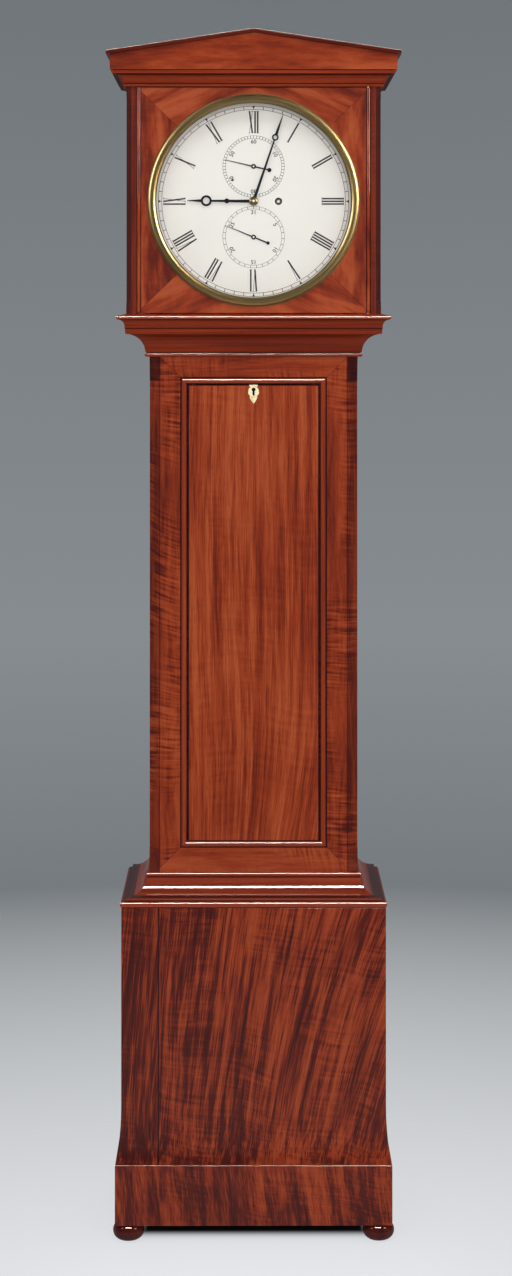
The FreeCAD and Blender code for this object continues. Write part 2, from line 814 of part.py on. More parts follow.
def make_hood_door():
    half = hood_door_half
    bead = hood_door_bead_r
    flat = half - 2 * bead - hood_door_quirk
    back = hood_y + hood_door_t
    quirk_y = hood_y + bead
    plan = [(half, quirk_y, -bead), (half, back), (-half, back), (-half, quirk_y)]
    plan += [(-half + 2 * bead, quirk_y, -bead), (-flat, quirk_y), (-flat, hood_y)]
    plan += [(flat, hood_y), (flat, quirk_y), (half - 2 * bead, quirk_y)]
    foot = hood_floor + hood_door_end_gap
    head = hood_top - hood_door_end_gap
    door = prism_z(plan, foot, head).cut(rod_y(aperture_r, hood_y, back, centre_at))
    pins = []
    for z0, z1 in ((hood_floor - door_pivot_len + 1, foot + door_pivot_len),
                   (head - door_pivot_len, hood_top + door_pivot_len - 1)):
        pin = rod_z(door_pivot_r, z0, z1, *hood_pivot())
        door = door.cut(pin)
        pins.append(pin)
    keep("hood_door", door)
    keep("door_pivots", *pins)
    roll_foot = (bezel_r - bezel_step, bezel_edge_h)
    roll_head = (roll_foot[0] - bezel_roll_w, bezel_roll_h)
    sweep_head = (roll_head[0] - bezel_step, bezel_roll_h)
    sweep_foot = (sight_r + bezel_inner_w, bezel_inner_h)
    roll = hollow(roll_foot, roll_head, -quarter_bow)
    bezel = [(sight_r, 0), (bezel_r, 0), (bezel_r, bezel_edge_h), roll_foot, roll, sweep_head]
    bezel += [hollow(sweep_head, sweep_foot, quarter_bow / 2), (sight_r, bezel_inner_h)]
    bezel = [(radius, hood_y - out, *(-bow for bow in bows)) for radius, out, *bows in bezel]
    keep("door_bezel", turned(bezel, centre_at))
    keep("door_glass", rod_y(aperture_r - glass_gap, hood_y, hood_y + glass_t, centre_at))


def make_dial():
    plate = rod_y(dial_r, dial_y, dial_y + dial_t, centre_at)
    holes = ((centre_at, hour_pipe_r), (escape_at, thin_arbor_r), (date_at, thin_arbor_r))
    for at, radius in (*holes, (barrel_at, winding_hole_r - dial_hole_gap)):
        plate = plate.cut(rod_y(radius + dial_hole_gap, dial_y, dial_y + dial_t, at))
    keep("dial_plate", plate)
    feet = [rod_y(dial_foot_r, dial_y + dial_t, front_plate_y, (x, dial_z + z))
            for x in (-dial_foot_x, dial_foot_x) for z in (-dial_foot_z, dial_foot_z)]
    keep("dial_feet", *feet)


def hand_bar(at, y, thick, start, end, start_w, end_w):
    """A tapering bar of a hand that points up from at."""
    points = [(-start_w / 2, start), (start_w / 2, start), (end_w / 2, end), (-end_w / 2, end)]
    return prism_y([(at[0] + x, at[1] + z) for x, z in points], y, y + thick)


def disc(at, y, thick, up, radius):
    return rod_y(radius, y, y + thick, (at[0], at[1] + up))


def pointed(hand, at, bore, y, thick, degrees):
    hand = hand.cut(rod_y(bore, y, y + thick, at))
    hand.rotate(V(at[0], 0, at[1]), V(0, 1, 0), degrees)
    return hand


def ringed_hand(y, length, ring_at, ring_r, ring_w, widths):
    """A slim hand with a pierced ring; widths are of its stem, hub to ring, and its point, ring to tip."""
    at = centre_at
    bar_end = ring_r - ring_w / 2
    ring = disc(at, y, main_hand_t, ring_at, ring_r).cut(disc(at, y, main_hand_t, ring_at, ring_r - ring_w))
    stem = hand_bar(at, y, main_hand_t, 0, ring_at - bar_end, widths[0], widths[1])
    point = hand_bar(at, y, main_hand_t, ring_at + bar_end, length, widths[2], widths[3])
    return disc(at, y, main_hand_t, 0, main_hand_hub_r).multiFuse([stem, ring, point])


def balanced_hand(at, y, length, tail, ball_r):
    """A small hand with a ball on its tail."""
    parts = [hand_bar(at, y, small_hand_t, 0, length, small_hand_w, small_hand_tip_w)]
    parts.append(hand_bar(at, y, small_hand_t, -tail, 0, small_hand_w, small_hand_w))
    parts.append(disc(at, y, small_hand_t, -tail, ball_r))
    return disc(at, y, small_hand_t, 0, small_hand_hub_r).multiFuse(parts)


def make_hands():
    hour = ringed_hand(hour_hand_y, hour_len, hour_ring_at, hour_ring_r, hour_ring_w, hour_widths)
    hour = hour.fuse(disc(centre_at, hour_hand_y, main_hand_t, hour_boss_at, hour_boss_r))
    keep("hour_hand", pointed(hour, centre_at, hour_pipe_r, hour_hand_y, main_hand_t, hour_deg))
    minute = ringed_hand(
        minute_hand_y, minute_len, minute_ring_at, minute_ring_r, minute_ring_w, minute_widths
    )
    keep("minute_hand", pointed(minute, centre_at, arbor_r, minute_hand_y, main_hand_t, minute_deg))
    dome_top = minute_hand_y - collet_h
    dome = [(arbor_r, minute_hand_y), (collet_r, minute_hand_y), (arbor_r, dome_top, collet_bow)]
    keep("hand_collet", turned(dome, centre_at))
    seconds = balanced_hand(escape_at, small_hand_y, seconds_len, seconds_tail, seconds_ball_r)
    keep("seconds_hand", pointed(seconds, escape_at, thin_arbor_r, small_hand_y, small_hand_t, seconds_deg))
    date = balanced_hand(date_at, small_hand_y, date_len, date_tail, date_ball_r)
    keep("date_hand", pointed(date, date_at, thin_arbor_r, small_hand_y, small_hand_t, date_deg))


def make_plates():
    foot = seat_z
    head = dial_z + plate_above
    half = plate_w / 2
    pillar_places = [(x, z) for x in (-half + pillar_inset, half - pillar_inset)
                     for z in (foot + pillar_inset, head - pillar_inset)]
    front = span_box(-half, half, front_plate_y, inside_y, foot, head)
    back = span_box(-half, half, back_plate_y, movement_back_y, foot, head)
    pivots = ((centre_at, arbor_r), (third_at, thin_arbor_r), (escape_at, thin_arbor_r))
    for at, radius in (*pivots, (barrel_at, barrel_pivot_r), (pallet_at, pallet_arbor_r)):
        hole = rod_y(radius + running_fit, front_plate_y, movement_back_y, at)
        front = front.cut(hole)
        back = back.cut(hole)
    for at in (minute_wheel_at, date_at):
        front = front.cut(rod_y(thin_arbor_r + running_fit, front_plate_y, inside_y, at))
    screws = []
    pillars = []
    for at in pillar_places:
        pillar = rod_y(pillar_r, inside_y, back_plate_y, at)
        for head_y, shank_y in ((front_plate_y - screw_head_h, front_plate_y),
                                (movement_back_y, movement_back_y - plate_t - screw_grip)):
            shank = rod_y(screw_r, shank_y, shank_y + plate_t + screw_grip, at)
            screw = shank.fuse(rod_y(screw_head_r, head_y, head_y + screw_head_h, at))
            screws.append(screw)
            pillar = pillar.cut(shank)
            front = front.cut(shank)
            back = back.cut(shank)
        pillars.append(pillar)
    seat_front = front_plate_y - seat_margin
    seat_back = movement_back_y + seat_back_margin
    seat = span_box(-trunk_half, trunk_half, seat_front, seat_back, seat_under, seat_z)
    line_x = winding_x - line_radius
    slot_x = (line_x - line_slot_half, line_x + line_slot_half)
    seat = seat.cut(span_box(*slot_x, drum_y, drum_end_y, seat_under, seat_z))
    for i, at in enumerate(pillar_places):
        if at[1] > dial_z:
            continue
        y = (inside_y + back_plate_y) / 2
        shank = rod_z(seat_bolt_r, seat_under, at[1], at[0], y)
        bolt = shank.fuse(rod_z(seat_bolt_head_r, seat_under - seat_bolt_head_h, seat_under, at[0], y))
        screws.append(bolt)
        seat = seat.cut(shank)
        pillars[i] = pillars[i].cut(shank)
    keep("front_plate", front)
    keep("back_plate", back)
    keep("plate_pillars", *pillars)
    keep("movement_screws", *screws)
    keep("seatboard", seat)


def make_train():
    great_angle, pinion_angle = mesh_angles(barrel_at, centre_at, centre_pinion_teeth)
    great = toothed(great_teeth, great_module, barrel_at, great_wheel_y, great_wheel_t, great_angle)
    great_rim = great_module * great_teeth / 2 - great_rim_w
    great = crossed_out(great, barrel_at, great_wheel_y, great_wheel_t, ratchet_r + great_hub_w, great_rim)
    great = great.cut(rod_y(barrel_arbor_r + running_fit, great_wheel_y, ratchet_y, barrel_at))
    stud_at = click_pivot()
    great = great.fuse(rod_y(click_stud_r, great_wheel_y, ratchet_y + train_wheel_t - axial_gap, stud_at))
    keep("great_wheel", great)

    pinion = toothed(centre_pinion_teeth, great_module, centre_at, great_wheel_y - axial_gap,
                     great_wheel_t + 2 * axial_gap, pinion_angle)
    centre_angle, third_pinion_angle = mesh_angles(centre_at, third_at, third_pinion_teeth)
    wheel = toothed(centre_teeth, train_module, centre_at, centre_wheel_y, train_wheel_t, centre_angle)
    rim = train_module * centre_teeth / 2 - train_rim_w
    wheel = crossed_out(wheel, centre_at, centre_wheel_y, train_wheel_t, train_hub_r, rim)
    cannon_angle, minute_angle = mesh_angles(centre_at, minute_wheel_at, minute_wheel_teeth)
    cannon = toothed(cannon_teeth, cannon_module, centre_at, cannon_y, motion_wheel_t, cannon_angle)
    arbor = rod_y(arbor_r, minute_hand_y - collet_h, movement_back_y, centre_at)
    keep("centre_wheel", arbor.multiFuse([pinion, wheel, cannon]))

    third_angle, escape_pinion_angle = mesh_angles(third_at, escape_at, escape_pinion_teeth)
    pinion = toothed(third_pinion_teeth, train_module, third_at, centre_wheel_y - axial_gap,
                     train_wheel_t + 2 * axial_gap, third_pinion_angle)
    wheel = toothed(third_teeth, train_module, third_at, third_wheel_y, train_wheel_t, third_angle)
    rim = train_module * third_teeth / 2 - train_rim_w
    wheel = crossed_out(wheel, third_at, third_wheel_y, train_wheel_t, train_hub_r, rim)
    arbor = rod_y(thin_arbor_r, front_plate_y, movement_back_y, third_at)
    keep("third_wheel", arbor.multiFuse([pinion, wheel]))

    pinion = toothed(escape_pinion_teeth, train_module, escape_at, third_wheel_y - axial_gap,
                     train_wheel_t + 2 * axial_gap, escape_pinion_angle)
    root = escape_tip_r - escape_tooth_h
    wheel = saw_toothed(
        escape_teeth, escape_tip_r, root, escape_at, escape_wheel_y, train_wheel_t, escape_lead
    )
    wheel = crossed_out(wheel, escape_at, escape_wheel_y, train_wheel_t, train_hub_r, root - escape_rim_w)
    arbor = rod_y(thin_arbor_r, small_hand_y - small_hand_gap / 2, movement_back_y, escape_at)
    keep("escape_wheel", arbor.multiFuse([pinion, wheel]))

    at = minute_wheel_at
    wheel = toothed(minute_wheel_teeth, cannon_module, at, cannon_y, motion_wheel_t, minute_angle)
    minute_pinion_angle, hour_angle = mesh_angles(at, centre_at, hour_wheel_teeth)
    pinion_y = hour_wheel_y - axial_gap / 2
    pinion_t = cannon_y - pinion_y
    pinion = toothed(minute_pinion_teeth, hour_module, at, pinion_y, pinion_t, minute_pinion_angle)
    stud = rod_y(thin_arbor_r, pinion_y, inside_y, at)
    keep("minute_wheel", stud.multiFuse([wheel, pinion]))
    wheel = toothed(hour_wheel_teeth, hour_module, centre_at, hour_wheel_y, motion_wheel_t, hour_angle)
    pipe = rod_y(hour_pipe_r, hour_hand_y, hour_wheel_y + motion_wheel_t, centre_at)
    bore = rod_y(arbor_r + running_fit, hour_hand_y, hour_wheel_y + motion_wheel_t, centre_at)
    keep("hour_wheel", pipe.fuse(wheel).cut(bore))
    root = date_wheel_r - date_tooth_h
    star = saw_toothed(date_teeth, date_wheel_r, root, date_at, date_wheel_y, motion_wheel_t)
    arbor = rod_y(thin_arbor_r, small_hand_y - small_hand_gap / 2, inside_y, date_at)
    keep("date_wheel", arbor.fuse(star))


def click_pivot():
    """The click's stud stands on the great wheel, outside the ratchet."""
    angle = math.radians(click_pivot_deg)
    reach = ratchet_r + click_clear + click_w
    return barrel_at[0] + reach * math.cos(angle), barrel_at[1] + reach * math.sin(angle)


def make_barrel():
    front = dial_y + dial_t + winding_square_behind_dial
    half = winding_square / 2
    arbor = span_box(winding_x - half, winding_x + half, front, front_plate_y, dial_z - half, dial_z + half)
    root = ratchet_r - ratchet_tooth_h
    ratchet = saw_toothed(ratchet_teeth, ratchet_r, root, barrel_at, ratchet_y, train_wheel_t)
    parts = [ratchet, rod_y(barrel_pivot_r, front_plate_y, movement_back_y, barrel_at)]
    parts.append(rod_y(barrel_arbor_r, inside_y + axial_gap, drum_end_y + axial_gap, barrel_at))
    parts.append(rod_y(barrel_r, drum_y, drum_end_y, barrel_at))
    for y in (drum_y, drum_end_y - barrel_flange_t):
        parts.append(rod_y(barrel_flange_r, y, y + barrel_flange_t, barrel_at))
    keep("barrel", arbor.multiFuse(parts))

    x, z = click_pivot()
    y0 = great_wheel_y + great_wheel_t
    y1 = ratchet_y + train_wheel_t - axial_gap
    eye = rod_y(click_eye_r, y0, y1, (x, z))
    root = click_w / 2
    tip = click_tip_w / 2
    blade = [(0, root), (0, -root), (click_len, -tip), (click_len, tip)]
    blade = prism_y([(x + u, z + v) for u, v in blade], y0, y1)
    click = eye.fuse(blade).cut(rod_y(click_stud_r + running_fit, y0, y1, (x, z)))
    click.rotate(V(x, 0, z), V(0, 1, 0), click_lean_deg + 90 - click_pivot_deg)
    keep("click", click)


def make_escapement():
    x, z = pallet_at
    y = escape_wheel_y + train_wheel_t / 2 - pallet_t / 2
    nib_x = (escape_tip_r + pallet_clear) / math.sqrt(2)
    nib_z = escape_at[1] + nib_x
    arm_z = nib_z + pallet_arm_h
    arm = [(0, z + pallet_arm_w), (0, z - pallet_arm_w), (nib_x, arm_z), (nib_x, nib_z)]
    arm += [(nib_x + pallet_nib_w, nib_z), (nib_x + pallet_arm_w, arm_z)]
    arm = prism_y([(x + u, v) for u, v in arm], y, y + pallet_t)
    anchor = rod_y(pallet_hub_r, y, y + pallet_t, pallet_at).multiFuse(both_sides(arm))
    crutch_y = pendulum_y - block_half - ear_gap - ear_t - crutch_ear_gap - crutch_t
    arbor = rod_y(pallet_arbor_r, front_plate_y, crutch_y + crutch_t, pallet_at)
    keep("pallets", anchor.fuse(arbor))

    hub = rod_y(crutch_hub_r, crutch_y, crutch_y + crutch_t, pallet_at)
    foot_z = z - crutch_len
    stem = span_box(-crutch_w / 2, crutch_w / 2, crutch_y, crutch_y + crutch_t, foot_z, z)
    inner = rod_r + crutch_gap
    outer = inner + crutch_tine_w
    bar_back = pendulum_y - rod_r - crutch_bar_gap
    bar = span_box(-outer, outer, crutch_y, bar_back, foot_z, foot_z + crutch_foot_h)
    tine = span_box(inner, outer, bar_back, pendulum_y + rod_r, foot_z, foot_z + crutch_foot_h)
    keep("crutch", hub.multiFuse([stem, bar, *both_sides(tine)]).cut(arbor))


def make_pendulum():
    z = pendulum_z
    y = pendulum_y
    near = block_half + ear_gap
    far = near + ear_t
    bar_z = z + block_half + cock_bar_gap
    plate_z = bar_z + (cock_bar_h - cock_plate_h) / 2
    plate_y = backboard_y - cock_plate_t
    half = cock_plate_w / 2
    plate = span_box(-half, half, plate_y, backboard_y, plate_z, plate_z + cock_plate_h)
    parts = [span_box(-ear_half_w, ear_half_w, y - far, plate_y, bar_z, bar_z + cock_bar_h)]
    for y0 in (y - far, y + near):
        parts.append(span_box(-ear_half_w, ear_half_w, y0, y0 + ear_t, z - ear_below, bar_z))
    pin_hole = rod_y(suspension_pin_r + running_fit, y - far, y + far, pallet_at)
    keep("pendulum_cock", plate.multiFuse(parts).cut(pin_hole))

    chop_top = z - block_half - spring_len
    chop_foot = chop_top - chop_h
    front = y - block_half
    back = y + block_half
    pin = rod_y(suspension_pin_r, y - far, y + far, pallet_at)
    block = span_box(-block_half_x, block_half_x, front, back, z - block_half, z + block_half)
    strip_y = (y - spring_w / 2, y + spring_w / 2)
    strip = span_box(-spring_t / 2, spring_t / 2, *strip_y, chop_top, z - block_half)
    chop = span_box(-block_half_x, block_half_x, front, back, chop_foot, chop_top)
    keep("suspension_spring", pin.multiFuse([block, strip, chop]))

    rod_foot = nut_top + bob_travel + thread_above_nut
    thread_foot = nut_top - nut_h - bob_travel - thread_below_nut
    rod = rod_z(rod_r, rod_foot, chop_foot, 0, y).fuse(rod_z(thread_r, thread_foot, rod_foot, 0, y))
    keep("pendulum_rod", rod)

    rise = bob_half_t - bob_rim_half_t
    ball_r = (bob_r**2 + rise**2) / (2 * rise)
    lens = rod_y(bob_r, y - bob_half_t, y + bob_half_t, (0, bob_z))
    for ball_y in (y - bob_half_t + ball_r, y + bob_half_t - ball_r):
        lens = lens.common(Part.makeSphere(ball_r, V(0, ball_y, bob_z)))
    boss = rod_z(bob_boss_r, nut_top, bob_z - bob_r + bob_boss_grip, 0, y)
    bore = rod_z(rod_r + bob_bore_gap, nut_top, bob_z + bob_r, 0, y)
    keep("pendulum_bob", lens.fuse(boss).cut(bore))
    turns = [2 * math.pi * i / nut_flats for i in range(nut_flats)]
    nut = [(nut_r * math.cos(turn), y + nut_r * math.sin(turn)) for turn in turns]
    nut = prism_z(nut, nut_top - nut_h, nut_top)
    keep("rating_nut", nut.cut(rod_z(thread_r + running_fit, nut_top - nut_h, nut_top, 0, y)))


def make_weight():
    x, z = pulley_at
    y = line_y
    groove = line_radius - line_r - line_off_pulley
    rim = line_radius + pulley_flange
    half = pulley_t / 2
    bore = pulley_axle_r + running_fit
    flank = half - pulley_edge
    sheave = [(bore, y - half), (rim, y - half), (rim, y - flank), (groove, y - line_r)]
    sheave += [(groove, y + line_r), (rim, y + flank), (rim, y + half), (bore, y + half)]
    keep("pulley", turned(sheave, pulley_at))
    inner = half + stirrup_gap
    outer = inner + stirrup_t
    bar_z = z - stirrup_drop
    bar_foot = bar_z - stirrup_bar_h
    parts = [span_box(x - stirrup_w / 2, x + stirrup_w / 2, y + y0, y + y1, bar_z, z + stirrup_w / 2)
             for y0, y1 in ((-outer, -inner), (inner, outer))]
    parts.append(span_box(x - stirrup_w / 2, x + stirrup_w / 2, y - outer, y + outer, bar_foot, bar_z))
    keep("pulley_stirrup", rod_y(pulley_axle_r, y - outer, y + outer, pulley_at).multiFuse(parts))
    top = bar_foot - weight_stem_len
    foot = top - weight_len
    shoulder = top - weight_dome
    profile = [(0, foot), (weight_r, foot), (weight_r, shoulder), (weight_stem_r, top)]
    profile += [(weight_stem_r, bar_foot), (0, bar_foot)]
    face = closed_face(profile, lambda r, up: V(x + r, y, up))
    keep("weight", face.revolve(V(x, y, 0), V(0, 0, 1), 360))

    left = x - line_radius
    right = x + line_radius
    path = Part.Wire([
        Part.LineSegment(V(left, y, dial_z), V(left, y, z)).toShape(),
        Part.Arc(V(left, y, z), V(x, y, z - line_radius), V(right, y, z)).toShape(),
        Part.LineSegment(V(right, y, z), V(right, y, seat_under)).toShape(),
    ])
    section = Part.Wire([Part.Circle(V(left, y, dial_z), V(0, 0, 1), line_r).toShape()])
    keep("gut_line", path.makePipeShell([section], True, False))


make_feet()
make_base()
make_trunk()
make_trunk_door()
make_hood()
make_pediment()
make_hood_door()
make_dial()
make_hands()
make_plates()
make_train()
make_barrel()
make_escapement()
make_pendulum()
make_weight()

os.makedirs("parts", exist_ok=True)
for name, solids in nodes.items():
    shape = solids[0] if len(solids) == 1 else Part.makeCompound(solids)
    shape.exportStep(f"parts/{name}.step")
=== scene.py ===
"""Looks of a regulator clock: French-polished mahogany, silvered dial, brass and blued steel."""

import json
import math

import bmesh
import bpy
from bpy.props import FloatProperty, FloatVectorProperty, PointerProperty
from mathutils import Matrix, Vector

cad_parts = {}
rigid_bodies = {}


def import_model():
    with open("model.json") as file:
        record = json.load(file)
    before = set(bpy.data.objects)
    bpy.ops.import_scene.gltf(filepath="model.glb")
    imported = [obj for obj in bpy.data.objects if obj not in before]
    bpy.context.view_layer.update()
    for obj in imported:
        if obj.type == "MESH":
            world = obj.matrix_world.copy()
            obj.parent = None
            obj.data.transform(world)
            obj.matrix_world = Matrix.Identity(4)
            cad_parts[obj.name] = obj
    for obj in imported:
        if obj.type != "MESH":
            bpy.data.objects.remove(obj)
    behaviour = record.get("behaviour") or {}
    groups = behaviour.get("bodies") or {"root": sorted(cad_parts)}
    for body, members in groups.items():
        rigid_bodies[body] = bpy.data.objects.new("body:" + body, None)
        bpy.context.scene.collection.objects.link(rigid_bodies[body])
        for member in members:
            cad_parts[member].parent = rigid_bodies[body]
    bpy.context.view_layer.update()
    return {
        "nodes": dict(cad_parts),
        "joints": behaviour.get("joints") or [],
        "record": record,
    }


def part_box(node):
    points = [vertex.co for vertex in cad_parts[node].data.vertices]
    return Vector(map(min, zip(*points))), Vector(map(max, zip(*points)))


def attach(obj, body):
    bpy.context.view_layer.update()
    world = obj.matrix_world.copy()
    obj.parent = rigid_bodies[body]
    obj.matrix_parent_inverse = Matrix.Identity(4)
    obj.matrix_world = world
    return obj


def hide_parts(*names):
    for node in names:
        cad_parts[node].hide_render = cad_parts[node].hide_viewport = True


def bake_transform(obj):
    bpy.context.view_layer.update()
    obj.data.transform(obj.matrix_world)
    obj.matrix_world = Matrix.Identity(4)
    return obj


bl_info = {
    "name": "Regulator Clock Finishes",
    "version": (1, 0, 0),
    "blender": (4, 5, 0),
    "location": "3D View > Sidebar > Clock",
    "description": "Dresses the regulator clock in its finishes and sets its studio stage",
    "category": "Object",
}

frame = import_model()

# Places of the frame that the finishes follow
record = frame["record"]
body_of_node = {node: body for body, nodes in record["behaviour"]["bodies"].items() for node in nodes}
joint_at = {joint["name"]: Vector(joint["pos_m"]) for joint in frame["joints"] if "pos_m" in joint}
stile_low, stile_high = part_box("trunk_stiles")
post_low, post_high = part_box("hood_posts")
bead_low, bead_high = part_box("trunk_door_bead")
door_low, door_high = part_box("trunk_door")
hood_door_low, hood_door_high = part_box("hood_door")
base_low, base_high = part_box("base_front")


def on_dial(joint):
    """Where a joint's axis meets the dial's face."""
    return Vector((joint_at[joint].x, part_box("dial_plate")[0].y, joint_at[joint].z))


dial_at = on_dial("minute_turn")
seconds_at = on_dial("seconds_turn")
date_at = on_dial("date_turn")
winding_at = on_dial("barrel_wind")


def setting(kind, **fixed):
    """Makes properties of one kind, each from its name, description and default."""
    def make(name, description, default):
        return kind(name=name, description=description, default=default, **fixed)
    return make


colour = setting(FloatVectorProperty, subtype="COLOR", size=3, min=0.0, max=1.0)
length = setting(FloatProperty, unit="LENGTH", precision=5)
share = setting(FloatProperty, subtype="FACTOR", min=0.0, max=1.0)
power = setting(FloatProperty, unit="POWER")
number = setting(FloatProperty)


class WoodFinish(bpy.types.PropertyGroup):
    """Colours and polish of the wood."""

    heart: colour("Heart", "Darkest streaks of the mahogany", (0.022, 0.0040, 0.0050))
    dark: colour("Dark", "Dark bands of the mahogany", (0.086, 0.0108, 0.0066))
    warm: colour("Warm", "Body colour of the mahogany", (0.232, 0.0320, 0.0102))
    pale: colour("Pale", "Lit ripples of the mahogany", (0.365, 0.0760, 0.0245))
    plain: colour("Plain", "Unpolished carcase wood", (0.300, 0.155, 0.066))
    polish: share("Polish", "Weight of the French polish", 0.28)
    gloss: share("Gloss", "Weight of the polish on the mouldings, where it lies thickest", 0.6)
    arris: length("Arris", "How far sharp edges are eased", 0.0007)


class MetalFinish(bpy.types.PropertyGroup):
    """Colours of the metals, the wax and the line."""

    brass: colour("Brass", "Lacquered brass", (0.68, 0.50, 0.21))
    bezel: colour("Bezel", "Darkened brass of the bezel", (0.25, 0.174, 0.066))
    tarnish: colour("Tarnish", "Dulled brass", (0.36, 0.22, 0.07))
    silver: colour("Silver", "Silvered dial", (0.815, 0.783, 0.736))
    steel: colour("Steel", "Polished steel", (0.50, 0.50, 0.51))
    blued: colour("Blued", "Blued hands", (0.012, 0.014, 0.026))
    wax: colour("Wax", "Black wax in the engraving", (0.010, 0.009, 0.010))
    gut: colour("Gut", "Twisted gut line", (0.55, 0.36, 0.16))


class DialLayout(bpy.types.PropertyGroup):
    """Radii of the engraving on the dial."""

    track_outer: length("Track outer", "Outer line of the minute track", 0.1530)
    track_inner: length("Track inner", "Inner line of the minute track", 0.1475)
    numeral_top: length("Numeral top", "Outer end of the hour numerals", 0.1450)
    numeral_foot: length("Numeral foot", "Inner end of the hour numerals", 0.1095)
    small_outer: length("Small outer", "Outer line of the seconds and date dials", 0.0495)
    small_inner: length("Small inner", "Inner line of the seconds and date dials", 0.0452)
    small_numeral: length("Small numerals", "Radius to the feet of the small numerals", 0.0370)
    hairline: length("Hairline", "Width of a fine engraved line", 0.00070)
    relief: length("Relief", "Thickness of the wax", 0.00008)


class StageSetting(bpy.types.PropertyGroup):
    """Floor, background and lamps."""

    floor: colour("Floor", "Pale floor near the clock", (0.74, 0.755, 0.775))
    low: colour("Background low", "Background where the floor ends", (0.178, 0.195, 0.209))
    middle: colour("Background middle", "Background behind the trunk", (0.242, 0.262, 0.279))
    high: colour("Background high", "Background above the clock", (0.165, 0.181, 0.195))
    ambient: number("Ambient", "Strength of the even light", 0.44)
    top: power("Top", "Power of the soft light over the clock", 20.0)
    fill: power("Fill", "Power of the soft light from the front", 160.0)
    rear: power("Rear", "Power of each of the two soft lights behind the clock", 62.0)
    gloss: power("Gloss", "Power of the lamp whose reflection lies on the mouldings", 820.0)
    rim: power("Rim", "Power of the panels that the upright edges reflect", 94.0)


# Node trees

def adds(operation, swapped=False):
    """An operator that adds one Math node, with its sides swapped for a reflected form."""
    def method(self, *others):
        sides = (self, *others)
        return self.bench.math(operation, *(sides[::-1] if swapped else sides))
    return method


class Value:
    """A socket that can stand in a sum: each operator adds one Math node."""

    def __init__(self, bench, socket):
        self.bench = bench
        self.socket = socket

    def pick(self, name):
        """Another output of the same node."""
        return Value(self.bench, self.socket.node.outputs[name])

    __add__ = __radd__ = adds("ADD")
    __mul__ = __rmul__ = adds("MULTIPLY")
    __truediv__ = adds("DIVIDE")
    __rtruediv__ = adds("DIVIDE", swapped=True)
    __sub__ = adds("SUBTRACT")
    __rsub__ = adds("SUBTRACT", swapped=True)
    __lt__ = adds("LESS_THAN")
    __gt__ = adds("GREATER_THAN")
    __abs__ = adds("ABSOLUTE")


class Bench:
    """A node tree being built. Every node comes from node()."""

    def __init__(self, tree):
        self.tree = tree
        tree.nodes.clear()

    def node(self, kind, settings=None, inputs=None, output=0):
        made = self.tree.nodes.new(kind)
        for key, value in (settings or {}).items():
            if key == "stops":
                self.set_stops(made.color_ramp.elements, value)
            else:
                setattr(made, key, value)
        for key, value in (inputs or {}).items():
            socket = self.find(made.inputs, key)
            if isinstance(value, Value):
                self.tree.links.new(value.socket, socket)
            else:
                socket.default_value = value
        if not made.outputs:
            return None
        return Value(self, self.find(made.outputs, output))

    @staticmethod
    def find(sockets, key):
        """A socket by its identifier, or else by its name or its place in the row."""
        for socket in sockets:
            if socket.identifier == key:
                return socket
        return sockets[key]

    @staticmethod
    def set_stops(elements, stops):
        while len(elements) < len(stops):
            elements.new(1.0)
        for element, (position, tint) in zip(elements, stops):
            element.position = position
            element.color = (*tint, 1.0)

    def math(self, operation, *values):
        return self.node("ShaderNodeMath", {"operation": operation}, dict(zip((0, 1, 2), values)))

    def vector(self, x, y, z):
        return self.node("ShaderNodeCombineXYZ", None, {"X": x, "Y": y, "Z": z})

    def split(self, vector):
        x = self.node("ShaderNodeSeparateXYZ", None, {"Vector": vector})
        return x, x.pick("Y"), x.pick("Z")

    def ramp(self, value, ends, kind="LINEAR"):
        """0 below the first end, 1 above the second, and straight or smooth between them."""
        reach = {"Value": value, "From Min": ends[0], "From Max": ends[1]}
        return self.node("ShaderNodeMapRange", {"interpolation_type": kind}, reach)

    def blend(self, factor, first, second):
        """The first shader where factor is 0, the second where it is 1."""
        shaders = {"Fac": factor, "Shader": first, "Shader_001": second}
        return self.node("ShaderNodeMixShader", None, shaders)


